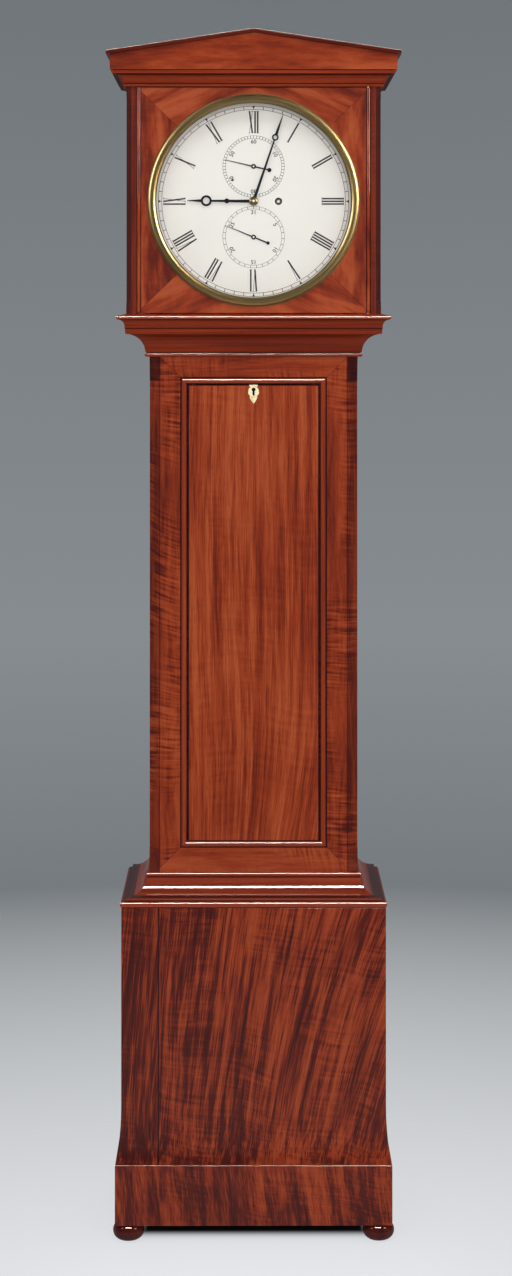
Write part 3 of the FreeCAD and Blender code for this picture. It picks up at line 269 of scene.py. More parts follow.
class Paint(Bench):
    """One material. Its patterns follow the piece's own coordinates, in metres."""

    def __init__(self, name):
        self.material = bpy.data.materials.new(name)
        self.material.use_nodes = True
        super().__init__(self.material.node_tree)

    def place(self):
        return self.split(self.node("ShaderNodeTexCoord", output="Object"))

    def grain(self):
        """Across, into and along the grain of a piece cut by polished()."""
        return self.split(self.node("ShaderNodeAttribute", {"attribute_name": "grain"}, output="Vector"))

    def noise(self, place, scales, detail=2.0):
        """Noise over a place, with each of its three values scaled by its own number, or all by one."""
        if not isinstance(scales, tuple):
            scales = (scales, scales, scales)
        vector = self.vector(*(value * scale for value, scale in zip(place, scales)))
        return self.node("ShaderNodeTexNoise", None, {"Vector": vector, "Scale": 1.0, "Detail": detail})

    def step(self, value, low, high):
        """0 below low, 1 above high, and smooth between them."""
        return self.ramp(value, (low, high), "SMOOTHSTEP")

    def radius(self, run, rise):
        """How far a point lies from an axis, by its two distances from it."""
        return self.math("SQRT", run * run + rise * rise)

    def deepest(self, *shades):
        """The darkest of several shades at each point."""
        depth = shades[0]
        for shade in shades[1:]:
            depth = self.math("MAXIMUM", depth, shade)
        return depth

    def mix(self, factor, first, second):
        sides = {"Factor_Float": factor}
        for key, tint in (("A_Color", first), ("B_Color", second)):
            sides[key] = tint if isinstance(tint, Value) else (*tint, 1.0)
        return self.node("ShaderNodeMix", {"data_type": "RGBA"}, sides, output="Result_Color")

    def choose(self, mask, first, second):
        """first where mask is 1, second where it is 0."""
        return second + (first - second) * mask

    def bump(self, height, distance, strength):
        return self.node(
            "ShaderNodeBump", None, {"Height": height, "Distance": distance, "Strength": strength}
        )

    def finish(self, shader):
        self.node("ShaderNodeOutputMaterial", None, {"Surface": shader})
        return self.material

    def principled(self, inputs):
        ready = {}
        for key, value in inputs.items():
            plain = "Color" in key and not isinstance(value, Value)
            ready[key] = (*value, 1.0) if plain else value
        return self.finish(self.node("ShaderNodeBsdfPrincipled", None, ready))


class Rule(Bench):
    """A Geometry Nodes tree with named inputs, run into a plain mesh by grow()."""

    kinds = {
        int: "NodeSocketInt",
        float: "NodeSocketFloat",
        Vector: "NodeSocketVector",
        bpy.types.Material: "NodeSocketMaterial",
    }

    def __init__(self, name, sizes):
        tree = bpy.data.node_groups.new(name, "GeometryNodeTree")
        super().__init__(tree)
        face = tree.interface
        face.new_socket("Geometry", in_out="INPUT", socket_type="NodeSocketGeometry")
        self.keys = {}
        for label, kind in {**sizes, "Finish": bpy.types.Material}.items():
            socket = face.new_socket(label, in_out="INPUT", socket_type=self.kinds[kind])
            self.keys[label] = socket.identifier
        face.new_socket("Geometry", in_out="OUTPUT", socket_type="NodeSocketGeometry")
        self.given = self.node("NodeGroupInput")

    def size(self, label):
        return self.given.pick(label)

    def rotation(self, euler):
        return self.node("FunctionNodeEulerToRotation", None, {"Euler": euler})

    def scatter(self, points, mark, rotation):
        places = {"Points": points, "Instance": mark, "Rotation": rotation}
        return self.node("GeometryNodeInstanceOnPoints", None, places)

    def move(self, geometry, **how):
        return self.node("GeometryNodeTransform", None, {"Geometry": geometry, **how})

    def close(self, geometry):
        real = self.node("GeometryNodeRealizeInstances", None, {"Geometry": geometry})
        coated = self.node(
            "GeometryNodeSetMaterial", None, {"Geometry": real, "Material": self.size("Finish")}
        )
        self.node("NodeGroupOutput", None, {"Geometry": coated})
        return self

    def grow(self, name, values, source_data=None):
        """Run the tree on source_data and return a plain mesh of its result."""
        source = set_out(name + "_rule", source_data or bpy.data.meshes.new(name + "_seed"))
        modifier = source.modifiers.new("rule", "NODES")
        modifier.node_group = self.tree
        for label, value in values.items():
            modifier[self.keys[label]] = value
        return taken_mesh(source, name)


# Pieces in the frame

def set_out(name, data):
    """A new object in the scene."""
    made = bpy.data.objects.new(name, data)
    bpy.context.scene.collection.objects.link(made)
    return made


def taken_mesh(obj, name):
    """The plain mesh that an object's modifiers make of it. The object itself goes."""
    bpy.context.view_layer.update()
    graph = bpy.context.evaluated_depsgraph_get()
    mesh = bpy.data.meshes.new_from_object(obj.evaluated_get(graph), depsgraph=graph)
    mesh.name = name
    if not mesh.polygons:
        raise RuntimeError(f"{name} came out empty")
    bpy.data.objects.remove(obj)
    return mesh


def add_piece(name, mesh, body, replaces=()):
    """A finished piece in the frame, riding on a body."""
    piece = set_out(name, mesh)
    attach(piece, body)
    if replaces:
        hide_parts(*replaces)


def paint_node(material, *nodes):
    """Give carried-over pieces a finish."""
    for node in nodes:
        materials = frame["nodes"][node].data.materials
        materials.clear()
        materials.append(material)


def toned(tint, gain):
    return [c * gain for c in tint]


# Pieces cut from the frame's solids

WELD = 1e-6
FLAT_ANGLE = math.radians(0.3)
SHARP_ANGLE = math.radians(28.0)
DIAGONAL = math.sqrt(0.5)
MITRE_SLACK = 0.002
GRAIN_AXES = {"x": (1, 2, 0), "y": (0, 2, 1), "z": (0, 1, 2), "z_side": (1, 0, 2)}
SOLID_SHIFT = Vector((0.37, 0.23, 0.61))


def solids_of(node):
    """The triangles of each closed solid of a node, as corner places on a fine grid."""
    mesh = frame["nodes"][node].data
    grid = [tuple(round(c / WELD) for c in vertex.co) for vertex in mesh.vertices]
    open_edges = set()
    solids = [[]]
    for face in mesh.polygons:
        corners = [grid[i] for i in face.vertices]
        solids[-1].append(corners)
        for edge in zip(corners, corners[1:] + corners[:1]):
            if edge[::-1] in open_edges:
                open_edges.remove(edge[::-1])
            else:
                open_edges.add(edge)
        if not open_edges:
            solids.append([])
    if solids.pop():
        raise RuntimeError(f"{node} has an open solid")
    return solids


def welded(triangles):
    """A mesh of one solid, with its corners merged and its flat faces whole."""
    solid = bmesh.new()
    made = {}
    for corners in triangles:
        for corner in corners:
            if corner not in made:
                made[corner] = solid.verts.new([c * WELD for c in corner])
        solid.faces.new([made[corner] for corner in corners])
    bmesh.ops.dissolve_limit(
        solid, angle_limit=FLAT_ANGLE, verts=solid.verts, edges=solid.edges, delimit={"NORMAL"}
    )
    return solid


def is_mitre(face, mitre):
    return all(abs(abs(face.normal["xyz".index(axis)]) - DIAGONAL) < MITRE_SLACK for axis in mitre)


def ease_edges(solid, width, mitre):
    """Round the outer edges, apart from those of a face that meets its fellow in a mitre."""
    arris = solid.faces.layers.float.new("arris")
    sharp = []
    for edge in solid.edges:
        if edge.calc_face_angle_signed(0.0) < SHARP_ANGLE:
            continue
        if mitre and any(is_mitre(face, mitre) for face in edge.link_faces):
            continue
        sharp.append(edge)
    eased = bmesh.ops.bevel(
        solid, geom=sharp, offset=width, offset_type="OFFSET", segments=2, profile=0.5,
        affect="EDGES", clamp_overlap=True,
    )
    for face in eased["faces"]:
        face[arris] = 1.0


def polished(node, material, grains=("z",), mitre=""):
    """Replace a node by a copy with eased edges and the grain of each of its solids."""
    whole = bmesh.new()
    for i, triangles in enumerate(solids_of(node)):
        solid = welded(triangles)
        ease_edges(solid, bpy.context.scene.clock_wood.arris, mitre)
        grain = solid.verts.layers.float_vector.new("grain")
        axes = GRAIN_AXES[grains[i % len(grains)]]
        for vertex in solid.verts:
            vertex[grain] = Vector([vertex.co[axis] for axis in axes]) + i * SOLID_SHIFT
        part = bpy.data.meshes.new("part")
        solid.to_mesh(part)
        solid.free()
        whole.from_mesh(part)
        bpy.data.meshes.remove(part)
    mesh = bpy.data.meshes.new(node)
    whole.to_mesh(mesh)
    whole.free()
    for face in mesh.polygons:
        face.use_smooth = True
    mesh.set_sharp_from_angle(angle=SHARP_ANGLE)
    name = node + "_polished"
    rough = set_out(name + "_rough", mesh)
    rough.modifiers.new("even_normals", "WEIGHTED_NORMAL").keep_sharp = True
    smooth = taken_mesh(rough, name)
    smooth.materials.clear()
    smooth.materials.append(material)
    add_piece(name, smooth, body_of_node[node], [node])


# How fast the figure of the wood changes across, into and along the grain, to a metre
DRIFT = (6.0, 6.0, 1.8)
CLOUDS = (11.0, 11.0, 4.0)
PATCHES = (14.0, 14.0, 7.0)
FLECKS = (1100.0, 1100.0, 70.0)
RIPPLE_ACROSS = 16.0

# Where a patch of ripple and a fleck set in, and how dark a fleck is
PATCH_EDGES = (0.36, 0.62)
FLECK_EDGES = (0.60, 0.74)
FLECK_DEPTH = 0.35

# How far the cross ripple drifts and leans, and how many fine lines go to a band
RIPPLE_DRIFT = 0.06
RIPPLE_LEAN = 0.12
LINES_PER_BAND = 4.7

# The tones that the wood's scale of colours takes in, and how much paler an eased edge is, as wear and as
# a painted highlight
TONE_REACH = (-0.1, 1.1)
ARRIS_WEAR_AND_HIGHLIGHT = 0.12

# How far the figure is shifted from one member to the next
RAIL_SHIFT = 3.0
UPRIGHT_SHIFT = 2.0
JOINT_SHIFT = 0.7
PLANK_SHIFT = 0.31

# The trunk's canted corners and where they stop, and the hood posts' canted edges, all of which carry
# painted shade
CANT_LEG = 0.0167
CANT_X = stile_high.x - CANT_LEG
STOP_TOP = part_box("trunk_top_moulding")[0].z - 0.037
STOP_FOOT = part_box("base_moulding")[1].z + 0.036
STOP_SOFT = 0.004
POST_CANT = 0.0085
CANT_EDGE = 0.0003

# The quirks of mouldings and doors, where shade is painted, and the hollow under the hood, which is
# painted darker as shade and polished thinner
QUIRK_W = 0.002
QUIRK_HEIGHTS = {
    "base_moulding": (0.0100, 0.0145, 0.0396),
    "trunk_top_moulding": (0.0070,),
    "hood_base_frame": (0.0070, 0.0208),
    "hood_cornice": (0.0045, 0.0180, 0.0250),
}
THIN_POLISH = 0.12
HOLLOW_PAINTED_SHADE = 0.14
HOOD_HOLLOW = (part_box("trunk_top_moulding")[0].z + 0.0075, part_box("hood_base_frame")[0].z + 0.0208)
HOOD_BEAD_W = 0.0063

# The lean of the door's figure and how far back from its face the shade painted along its edge reaches,
# and the joint and the fan on the base
DOOR_LEAN = 0.20
DOOR_LEAN_H = 0.36
DOOR_LEAN_X = (-0.07, 0.05)
FACE_DEPTH = 0.001
BASE_JOINT_X = -0.151
FAN_SLOPE = (0.07, 0.32)

# Half widths and depths of the dark lines, of joints and of the shade painted in quirks and round the
# door, and how dark plain boards are in their grain and gaps.
# The width of a plank's joint is a share of the plank.
MOULDING_QUIRK_SHADE = (0.0013, 0.8)
DOOR_GAP_SHADE = (0.0022, 1.0)
FRAME_MITRE = (0.0007, 0.6)
FRAME_QUIRK_SHADE = (QUIRK_W * 0.7, 0.9)
CANT_LINE = (0.0012, 0.6)
HOOD_MITRE = (0.0008, 0.55)
HOOD_QUIRK_SHADE = (0.0009, 0.85)
BASE_JOINT = (0.0016, 0.95)
PLANK_JOINT = (0.008, 0.8)
BOARD_DARK = 0.55
BOARD_GAP = (0.02, 0.011, 0.006)


# Wood finishes

def figure(paint, grain, bands=40.0, stretch=0.035, wander=0.012, band_gain=1.5, line_gain=0.7,
           ripples=170.0, ripple_gain=0.0, cloud_gain=0.5):
    """How pale the mahogany is, about 0 to 1: slow bands, finer lines, cross ripple and clouds."""
    across, deep, along = grain
    drift = paint.noise(grain, DRIFT, 1.0) - 0.5
    streak = (across + drift * wander, deep, along)
    lines = bands * LINES_PER_BAND
    band = paint.noise(streak, (bands, bands, bands * stretch))
    fine = paint.noise(streak, (lines, lines, lines * stretch), 3.0)
    cloud = paint.noise(grain, CLOUDS)
    tone = 0.5 + (band - 0.5) * band_gain + (fine - 0.5) * line_gain + (cloud - 0.5) * cloud_gain
    if ripple_gain:
        lifted = along + drift * RIPPLE_DRIFT + across * RIPPLE_LEAN
        ripple = paint.noise((across, deep, lifted), (RIPPLE_ACROSS, RIPPLE_ACROSS, ripples))
        patch = paint.step(paint.noise(grain, PATCHES, 1.0), *PATCH_EDGES)
        tone = tone + (ripple - 0.5) * patch * ripple_gain
    return tone


def french_polish(paint, tone, low, high, shade, polish=None):
    """Polished mahogany: tone picks a colour from low to high on the wood's scale, shade darkens it."""
    wood = bpy.context.scene.clock_wood
    stops = [(0.0, wood.heart), (0.32, wood.dark), (0.64, wood.warm), (1.0, wood.pale)]
    # Eased edges are painted paler: partly wear, partly a painted highlight along the arris
    wear_and_painted_light = paint.node("ShaderNodeAttribute", {"attribute_name": "arris"}, output="Fac")
    level = low + paint.step(tone, *TONE_REACH) * (high - low) + wear_and_painted_light * ARRIS_WEAR_AND_HIGHLIGHT
    tint = paint.node("ShaderNodeValToRGB", {"stops": stops}, {"Fac": level})
    return paint.principled({
        "Base Color": paint.mix(shade, tint, wood.heart),
        "Roughness": 0.42 - level * 0.1,
        "Specular IOR Level": 0.0,
        "Coat Weight": polish or wood.polish,
        "Coat Roughness": 0.06,
        "Normal": paint.bump(1.0 - shade, 0.0002, 0.5),
    })


def pores(paint, grain):
    """Short dark flecks that run with the grain."""
    return paint.step(paint.noise(grain, FLECKS, 1.0), *FLECK_EDGES) * FLECK_DEPTH


def line_at(paint, distance, half_width, depth):
    """A dark line where distance is near zero: a joint, or shade painted in a quirk or gap."""
    return (1.0 - paint.step(abs(distance), half_width * 0.5, half_width)) * depth


def straight_veneer(name, low, high, lean=0.0, **look):
    """Veneer whose figure runs with the grain, or leans across it."""
    paint = Paint(name)
    grain = paint.grain()
    across, deep, along = grain
    leaning = (across + along * lean, deep, along) if lean else grain
    return french_polish(paint, figure(paint, leaning, **look), low, high, pores(paint, grain))


def moulding_wood(name, low, high, gloss, contrast=1.0, nodes=(), hollow=None):
    """Straight lengths: grain along them, painted shade in the quirks between members, and in a hollow
    painted shade and thinner polish.
    """
    paint = Paint(name)
    grain = paint.grain()
    gains = {"band_gain": 1.1 * contrast, "line_gain": 0.8 * contrast}
    tone = figure(paint, grain, bands=70.0, stretch=0.02, **gains)
    z = paint.place()[2]
    # Painted shade in the quirks and under the overhangs of each moulding
    quirks = [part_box(node)[0].z + height for node in nodes for height in QUIRK_HEIGHTS[node]]
    lines = [line_at(paint, z - quirk, *MOULDING_QUIRK_SHADE) for quirk in quirks]
    shade = paint.deepest(pores(paint, grain), *lines)
    if hollow:
        # Painted shade in the hollow under the hood
        inside = (z > hollow[0]) * (z < hollow[1])
        tone = tone - inside * HOLLOW_PAINTED_SHADE
        gloss = gloss - inside * (gloss - THIN_POLISH)
    return french_polish(paint, tone, low, high, shade, gloss)


def turned_wood():
    """Dark bun feet."""
    paint = Paint("mahogany_turned")
    place = paint.place()
    tone = figure(paint, place, bands=90.0, stretch=0.2)
    return french_polish(paint, tone, 0.06, 0.36, pores(paint, place))


def door_veneer():
    """The trunk door: soft upright streaks that lean over at the lower right, and shade painted along its
    edges.
    """
    paint = Paint("mahogany_door")
    x, y, z = paint.place()
    drop = paint.math("MAXIMUM", door_low.z + DOOR_LEAN_H - z, 0.0)
    grain = (x + drop * drop * DOOR_LEAN * paint.step(x, *DOOR_LEAN_X), y, z)
    tone = figure(paint, grain, bands=130.0, stretch=0.03, wander=0.03, band_gain=1.35, line_gain=1.15,
                  ripples=120.0, ripple_gain=0.4, cloud_gain=0.9)
    # Painted shade along the door's edges, where the gap round it lies in shadow
    inset = paint.math("MINIMUM", door_high.z - z, z - door_low.z)
    inset = paint.math("MINIMUM", door_high.x - abs(x), inset)
    edge = line_at(paint, inset, *DOOR_GAP_SHADE) * (y < door_low.y + FACE_DEPTH)
    return french_polish(paint, tone, 0.36, 1.0, paint.deepest(pores(paint, grain), edge))


def frame_veneer():
    """The trunk's stiles and rails: ripple figure, mitred at the corners, with darker canted edges,
    partly their own tone and partly painted shade, near black at the stops.
    """
    paint = Paint("mahogany_frame")
    x, y, z = paint.place()
    out = abs(x) - bead_high.x
    past = paint.math("MAXIMUM", z - bead_high.z, bead_low.z - z)
    mitre = out - past
    stile = mitre > 0.0
    grain = (paint.choose(stile, x, z + RAIL_SHIFT), y, paint.choose(stile, z, x))
    tone = figure(paint, grain, bands=70.0, stretch=0.10, wander=0.02, band_gain=0.9, line_gain=0.6,
                  ripples=200.0, ripple_gain=2.1, cloud_gain=0.9)
    # Painted shade on the canted corners, near black at the stops at the top and a little less at the
    # foot
    cant = (abs(x) > CANT_X) * (y < stile_low.y + CANT_LEG)
    stop_top = paint.step(z, STOP_TOP - STOP_SOFT, STOP_TOP)
    stop_foot = paint.step(STOP_FOOT - z, -STOP_SOFT, 0.0)
    # Painted shade in the quirk groove outside the door's bead
    quirk = paint.math("MAXIMUM", out, past) - QUIRK_W / 2
    shade = paint.deepest(
        pores(paint, grain),
        line_at(paint, mitre, *FRAME_MITRE),
        line_at(paint, quirk, *FRAME_QUIRK_SHADE),
        line_at(paint, abs(x) - CANT_X, *CANT_LINE),
        cant * ((stop_top + stop_foot * 0.6) * 0.75 + 0.05),
    )
    # Lighter on the right and on the rails; darker on the canted corners, partly the wood's own tone and
    # partly painted shade
    lift = paint.step(x, -0.05, 0.05) * 0.1 + (1.0 - stile) * 0.2 - cant * 0.16
    return french_polish(paint, tone + lift, 0.20, 0.86, shade)


def hood_veneer():
    """The hood door: four mitred members round the dial."""
    paint = Paint("mahogany_hood_door")
    x, y, z = paint.place()
    aspect = (hood_door_high.z - hood_door_low.z) / (hood_door_high.x - hood_door_low.x)
    rise = z - dial_at.z
    mitre = abs(x) * aspect - abs(rise)
    upright = mitre > 0.0
    across = paint.choose(upright, x + UPRIGHT_SHIFT, z + abs(x) * 0.4)
    grain = (across, y, paint.choose(upright, z + rise * 0.35, x))
    tone = figure(paint, grain, bands=30.0, stretch=0.16, wander=0.06, band_gain=2.5, line_gain=1.2,
                  ripples=120.0, ripple_gain=0.3, cloud_gain=1.5)
    # Painted shade in the quirk beside the door's edge bead
    quirk = abs(x) - (hood_door_high.x - HOOD_BEAD_W)
    lines = (line_at(paint, mitre, *HOOD_MITRE), line_at(paint, quirk, *HOOD_QUIRK_SHADE))
    shade = paint.deepest(pores(paint, grain), *lines)
    return french_polish(paint, tone, 0.34, 0.90, shade, bpy.context.scene.clock_wood.gloss)


def post_veneer():
    """The hood's corner posts: dark and upright, and darker still on their canted edges, where shade is
    painted.
    """
    paint = Paint("mahogany_post")
    place = paint.place()
    x, y, z = place
    tone = figure(paint, place, bands=80.0, stretch=0.03, band_gain=1.2, ripple_gain=0.5)
    # Painted shade on the canted edges
    cant = (abs(x) > post_high.x - POST_CANT + CANT_EDGE) * (y < post_low.y + POST_CANT - CANT_EDGE)
    shade = paint.deepest(pores(paint, place), cant * 0.6)
    return french_polish(paint, tone, 0.20, 0.56, shade, bpy.context.scene.clock_wood.gloss)


def base_veneer():
    """The base: dark stripes that fan out to the upper right, with a ripple, and one upright joint."""
    paint = Paint("mahogany_base")
    x, y, z = paint.place()
    joint = x - BASE_JOINT_X
    rightward = (x - base_low.x) / (base_high.x - base_low.x)
    upward = (z - base_low.z) / (base_high.z - base_low.z)
    slope = FAN_SLOPE[0] + rightward * rightward * (FAN_SLOPE[1] - FAN_SLOPE[0])
    across = x - slope * (z - (base_low.z + base_high.z) / 2) + (joint < 0.0) * JOINT_SHIFT
    grain = (across, y, z)
    tone = figure(paint, grain, bands=110.0, stretch=0.04, wander=0.03, band_gain=1.8, line_gain=1.5,
                  ripples=190.0, ripple_gain=0.75, cloud_gain=1.0)
    lift = (upward + rightward) * 0.18 - 0.22
    shade = paint.deepest(pores(paint, grain), line_at(paint, joint, *BASE_JOINT))
    return french_polish(paint, tone + lift, 0.10, 0.80, shade)


def carcase_wood(name, plank_width, upright=True):
    """Unpolished boards, with joints a plank apart."""
    paint = Paint(name)
    x, y, z = paint.place()
    across, along = (x, z) if upright else (z, x)
    plank = paint.math("FLOOR", across / plank_width + 0.5)
    edge = abs(across / plank_width - plank) - 0.5
    grain = (across + plank * PLANK_SHIFT, y, along)
    tone = figure(paint, grain, bands=60.0, stretch=0.02, band_gain=1.2, line_gain=1.0)
    plain = bpy.context.scene.clock_wood.plain
    tint = paint.mix(paint.step(tone, *TONE_REACH), toned(plain, BOARD_DARK), plain)
    shade = paint.deepest(line_at(paint, edge, *PLANK_JOINT), pores(paint, (across, y, along)))
    return paint.principled({
        "Base Color": paint.mix(shade, tint, BOARD_GAP),
        "Roughness": 0.72 - tone * 0.12,
        "Normal": paint.bump(tone * 0.3 - shade, 0.0003, 0.6),
    })


# Metal, glass and line finishes

LACQUER = 0.5
FINE_BUMP = 0.00002
WINDING_HOLE = 0.0051
ARBOR_RADIUS = 0.0042
ARBOR_TIP = 0.0005
DIAL_EDGE_SHADE = (0.10, 0.165)
PALE_BRASS = (0.96, 0.88, 0.58)
WORN_BRASS = (0.70, 0.55, 0.25)
GLASS_TINT = (0.99, 0.995, 0.992, 1.0)


def lathe_rings(paint, place, axis, scales):
    """The distance from an axis along Y, and the fine rings that the lathe left about it."""
    x, y, z = place
    radius = paint.radius(x - axis.x, z - axis.z)
    return radius, paint.noise((radius, y, 0.0), (*scales, 1.0), 1.0)


def dulled(paint, smear, low, high, depth, brass):
    """Brass that has tarnished where smear is high."""
    return paint.mix(paint.step(smear, low, high) * depth, brass, bpy.context.scene.clock_metal.tarnish)


def lacquered(paint, tint, roughness, rub):
    """Brass under a thin lacquer, with the fine marks of its making."""
    return paint.principled({
        "Base Color": tint,
        "Metallic": 1.0,
        "Roughness": roughness,
        "Coat Weight": LACQUER,
        "Normal": paint.bump(rub, FINE_BUMP, 0.3),
    })


def brass_finish(name, roughness=0.24, dulling=0.6):
    """Lacquered brass, dulled in smears."""
    paint = Paint(name)
    place = paint.place()
    smear = paint.noise(place, 45.0, 3.0)
    rub = paint.noise(place, (900.0, 160.0, 900.0), 1.0)
    tint = dulled(paint, smear, 0.42, 0.75, dulling, bpy.context.scene.clock_metal.brass)
    return lacquered(paint, tint, roughness + (smear - 0.5) * 0.16 + (rub - 0.5) * 0.06, rub)


def turned_brass(name, centre, roughness=0.2, brass=None):
    """Brass with fine rings left by the lathe about centre, on an axis along Y."""
    paint = Paint(name)
    place = paint.place()
    rings = lathe_rings(paint, place, centre, (1500.0, 900.0))[1]
    smear = paint.noise(place, (22.0, 60.0, 22.0), 3.0)
    tint = dulled(paint, smear, 0.45, 0.75, 0.45, brass or bpy.context.scene.clock_metal.brass)
    return lacquered(paint, tint, roughness + (smear - 0.5) * 0.14 + (rings - 0.5) * 0.10, rings)


def wheel_brass(node, axis):
    """A brass wheel on a steel arbor that turns about axis, along Y, with a highlight painted on the
    arbor's front end.
    """
    paint = Paint(node + "_brass")
    metal = bpy.context.scene.clock_metal
    place = paint.place()
    radius, rings = lathe_rings(paint, place, axis, (1800.0, 700.0))
    smear = paint.noise(place, 60.0)
    arbor = radius < ARBOR_RADIUS
    # Painted highlight: the arbor's front end is made pale and less metallic
    wear_and_painted_light = arbor * (place[1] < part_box(node)[0].y + ARBOR_TIP)
    tint = paint.mix(arbor, dulled(paint, smear, 0.45, 0.8, 0.4, metal.brass), metal.steel)
    return paint.principled({
        "Base Color": paint.mix(wear_and_painted_light, tint, metal.silver),
        "Metallic": 1.0 - wear_and_painted_light * 0.9,
        "Roughness": 0.22 + (smear - 0.5) * 0.1 + (rings - 0.5) * 0.12,
        "Normal": paint.bump(rings, FINE_BUMP, 0.3),
    })


def escutcheon_finish():
    paint = Paint("pale_brass")
    wear = paint.noise(paint.place(), 240.0)
    tint = paint.mix(paint.step(wear, 0.4, 0.8), PALE_BRASS, WORN_BRASS)
    roughness = 0.30 + (wear - 0.5) * 0.2
    return paint.principled({"Base Color": tint, "Metallic": 0.35, "Roughness": roughness})


def silver_finish():
    """Silvered brass: soft and matt, a little uneven, and darker towards its edge, where shade is
    painted.
    """
    paint = Paint("silvered_dial")
    metal = bpy.context.scene.clock_metal
    place = paint.place()
    x, _, z = place
    bloom = paint.noise(place, 16.0, 3.0)
    rub = paint.noise(place, (700.0, 40.0, 60.0))
    # Painted shade: the silver darkens towards the dial's edge, by the bezel
    rim = paint.step(paint.radius(x, z - dial_at.z), *DIAL_EDGE_SHADE)
    wear_and_painted_light = rim * 0.35 + (bloom - 0.5) * 0.5 + (rub - 0.5) * 0.12
    tint = paint.mix(wear_and_painted_light, metal.silver, toned(metal.silver, 0.86))
    # Painted shade: the winding hole is coloured as black as the wax, for the dark inside it
    hole = paint.radius(x - winding_at.x, z - winding_at.z) < WINDING_HOLE
    return paint.principled({
        "Base Color": paint.mix(hole, tint, metal.wax),
        "Roughness": 0.46 + (rub - 0.5) * 0.14,
        "Normal": paint.bump(rub, FINE_BUMP, 0.4),
    })


def steel_finish(name, tint, roughness=0.26, metallic=1.0):
    paint = Paint(name)
    rub = paint.noise(paint.place(), (520.0, 120.0, 520.0))
    pale = [min(1.0, c * 1.35 + 0.004) for c in tint]
    return paint.principled({
        "Base Color": paint.mix(rub, tint, pale),
        "Metallic": metallic,
        "Roughness": roughness + (rub - 0.5) * 0.16,
        "Normal": paint.bump(rub, FINE_BUMP, 0.3),
    })


def wax_finish():
    paint = Paint("black_wax")
    wear = paint.noise(paint.place(), 90.0)
    wax = bpy.context.scene.clock_metal.wax
    tint = paint.mix(paint.step(wear, 0.5, 0.9), wax, toned(wax, 5.0))
    return paint.principled({"Base Color": tint, "Roughness": 0.55 + (wear - 0.5) * 0.2})


def glass_finish():
    """Thin clear glass: it lets light by, and mirrors a little more towards its edge."""
    paint = Paint("clear_glass")
    clear = paint.node("ShaderNodeBsdfTransparent", None, {"Color": GLASS_TINT})
    gloss = paint.node("ShaderNodeBsdfGlossy", None, {"Roughness": 0.02})
    fresnel = paint.node("ShaderNodeFresnel", None, {"IOR": 1.35})
    return paint.finish(paint.blend(fresnel * 0.5, clear, gloss))


def gut_finish():
    paint = Paint("twisted_gut")
    gut = bpy.context.scene.clock_metal.gut
    stain = paint.noise(paint.place(), (300.0, 300.0, 60.0))
    tint = paint.mix(stain, toned(gut, 0.6), gut)
    return paint.principled({"Base Color": tint, "Roughness": 0.42 + (stain - 0.5) * 0.3})


# Engraving of the dial

BAR_W = 0.0025
BAR_GAP = 0.0018
SLANT_W = 0.0072
SERIF_REACH = 0.0009
FIGURE_SIZE = 0.0092
BOLD = 0.00014
HOLE_RIM = 0.0008
PIP = 0.0030
PIP_INSET = 0.0014
TICK_HAIRS = 1.4
SMALL_TICK_HAIRS = 1.1
SMALL_RING_HAIRS = 0.7
TICK_RELIEFS = 2
PIP_RELIEFS = 2.6
STROKE_LIFT = 0.1
RING_STEPS = 180
SMALL_RING_STEPS = 96
HOLE_STEPS = 48
ROMAN = ("XII", "I", "II", "III", "IIII", "V", "VI", "VII", "VIII", "IX", "X", "XI")
SECONDS = ("60", "10", "20", "30", "40", "50")
DATES = ("31", "5", "10", "15", "20", "25")


def dial_frame(centre, turn):
    """Places marks that stand upright at 12 o'clock: x to the right, y outwards, z towards the eye."""
    right = Vector((math.cos(turn), 0.0, -math.sin(turn)))
    outward = Vector((math.sin(turn), 0.0, math.cos(turn)))
    toward = right.cross(outward)
    return Matrix.Translation(centre) @ Matrix((right, outward, toward)).transposed().to_4x4()


def add_prism(marks, outline, place, relief):
    """A thin closed prism over an outline of (x, y) points, standing on the dial."""
    foot = [marks.verts.new(place @ Vector((x, y, 0.0))) for x, y in outline]
    head = [marks.verts.new(place @ Vector((x, y, relief))) for x, y in outline]
    marks.faces.new(head)
    marks.faces.new(foot[::-1])
    count = len(outline)
    for i in range(count):
        j = (i + 1) % count
        marks.faces.new((foot[i], foot[j], head[j], head[i]))


def add_ring(marks, centre, radius, width, relief, steps=RING_STEPS):
    """A thin closed ring of square section, standing on the dial."""
    section = ((-width / 2, 0.0), (width / 2, 0.0), (width / 2, relief), (-width / 2, relief))
    loops = []
    for i in range(steps):
        place = dial_frame(centre, math.tau * i / steps)
        loops.append([marks.verts.new(place @ Vector((0.0, radius + out, up))) for out, up in section])
    for near, far in zip(loops, loops[1:] + loops[:1]):
        for k in range(len(section)):
            n = (k + 1) % len(section)
            marks.faces.new((near[k], near[n], far[n], far[k]))


def stroke(start, end, width):
    """An upright-ended bar from start to end, both (x, y)."""
    half = width / 2
    return [(start[0] - half, start[1]), (end[0] - half, end[1]), (end[0] + half, end[1]),
            (start[0] + half, start[1])]


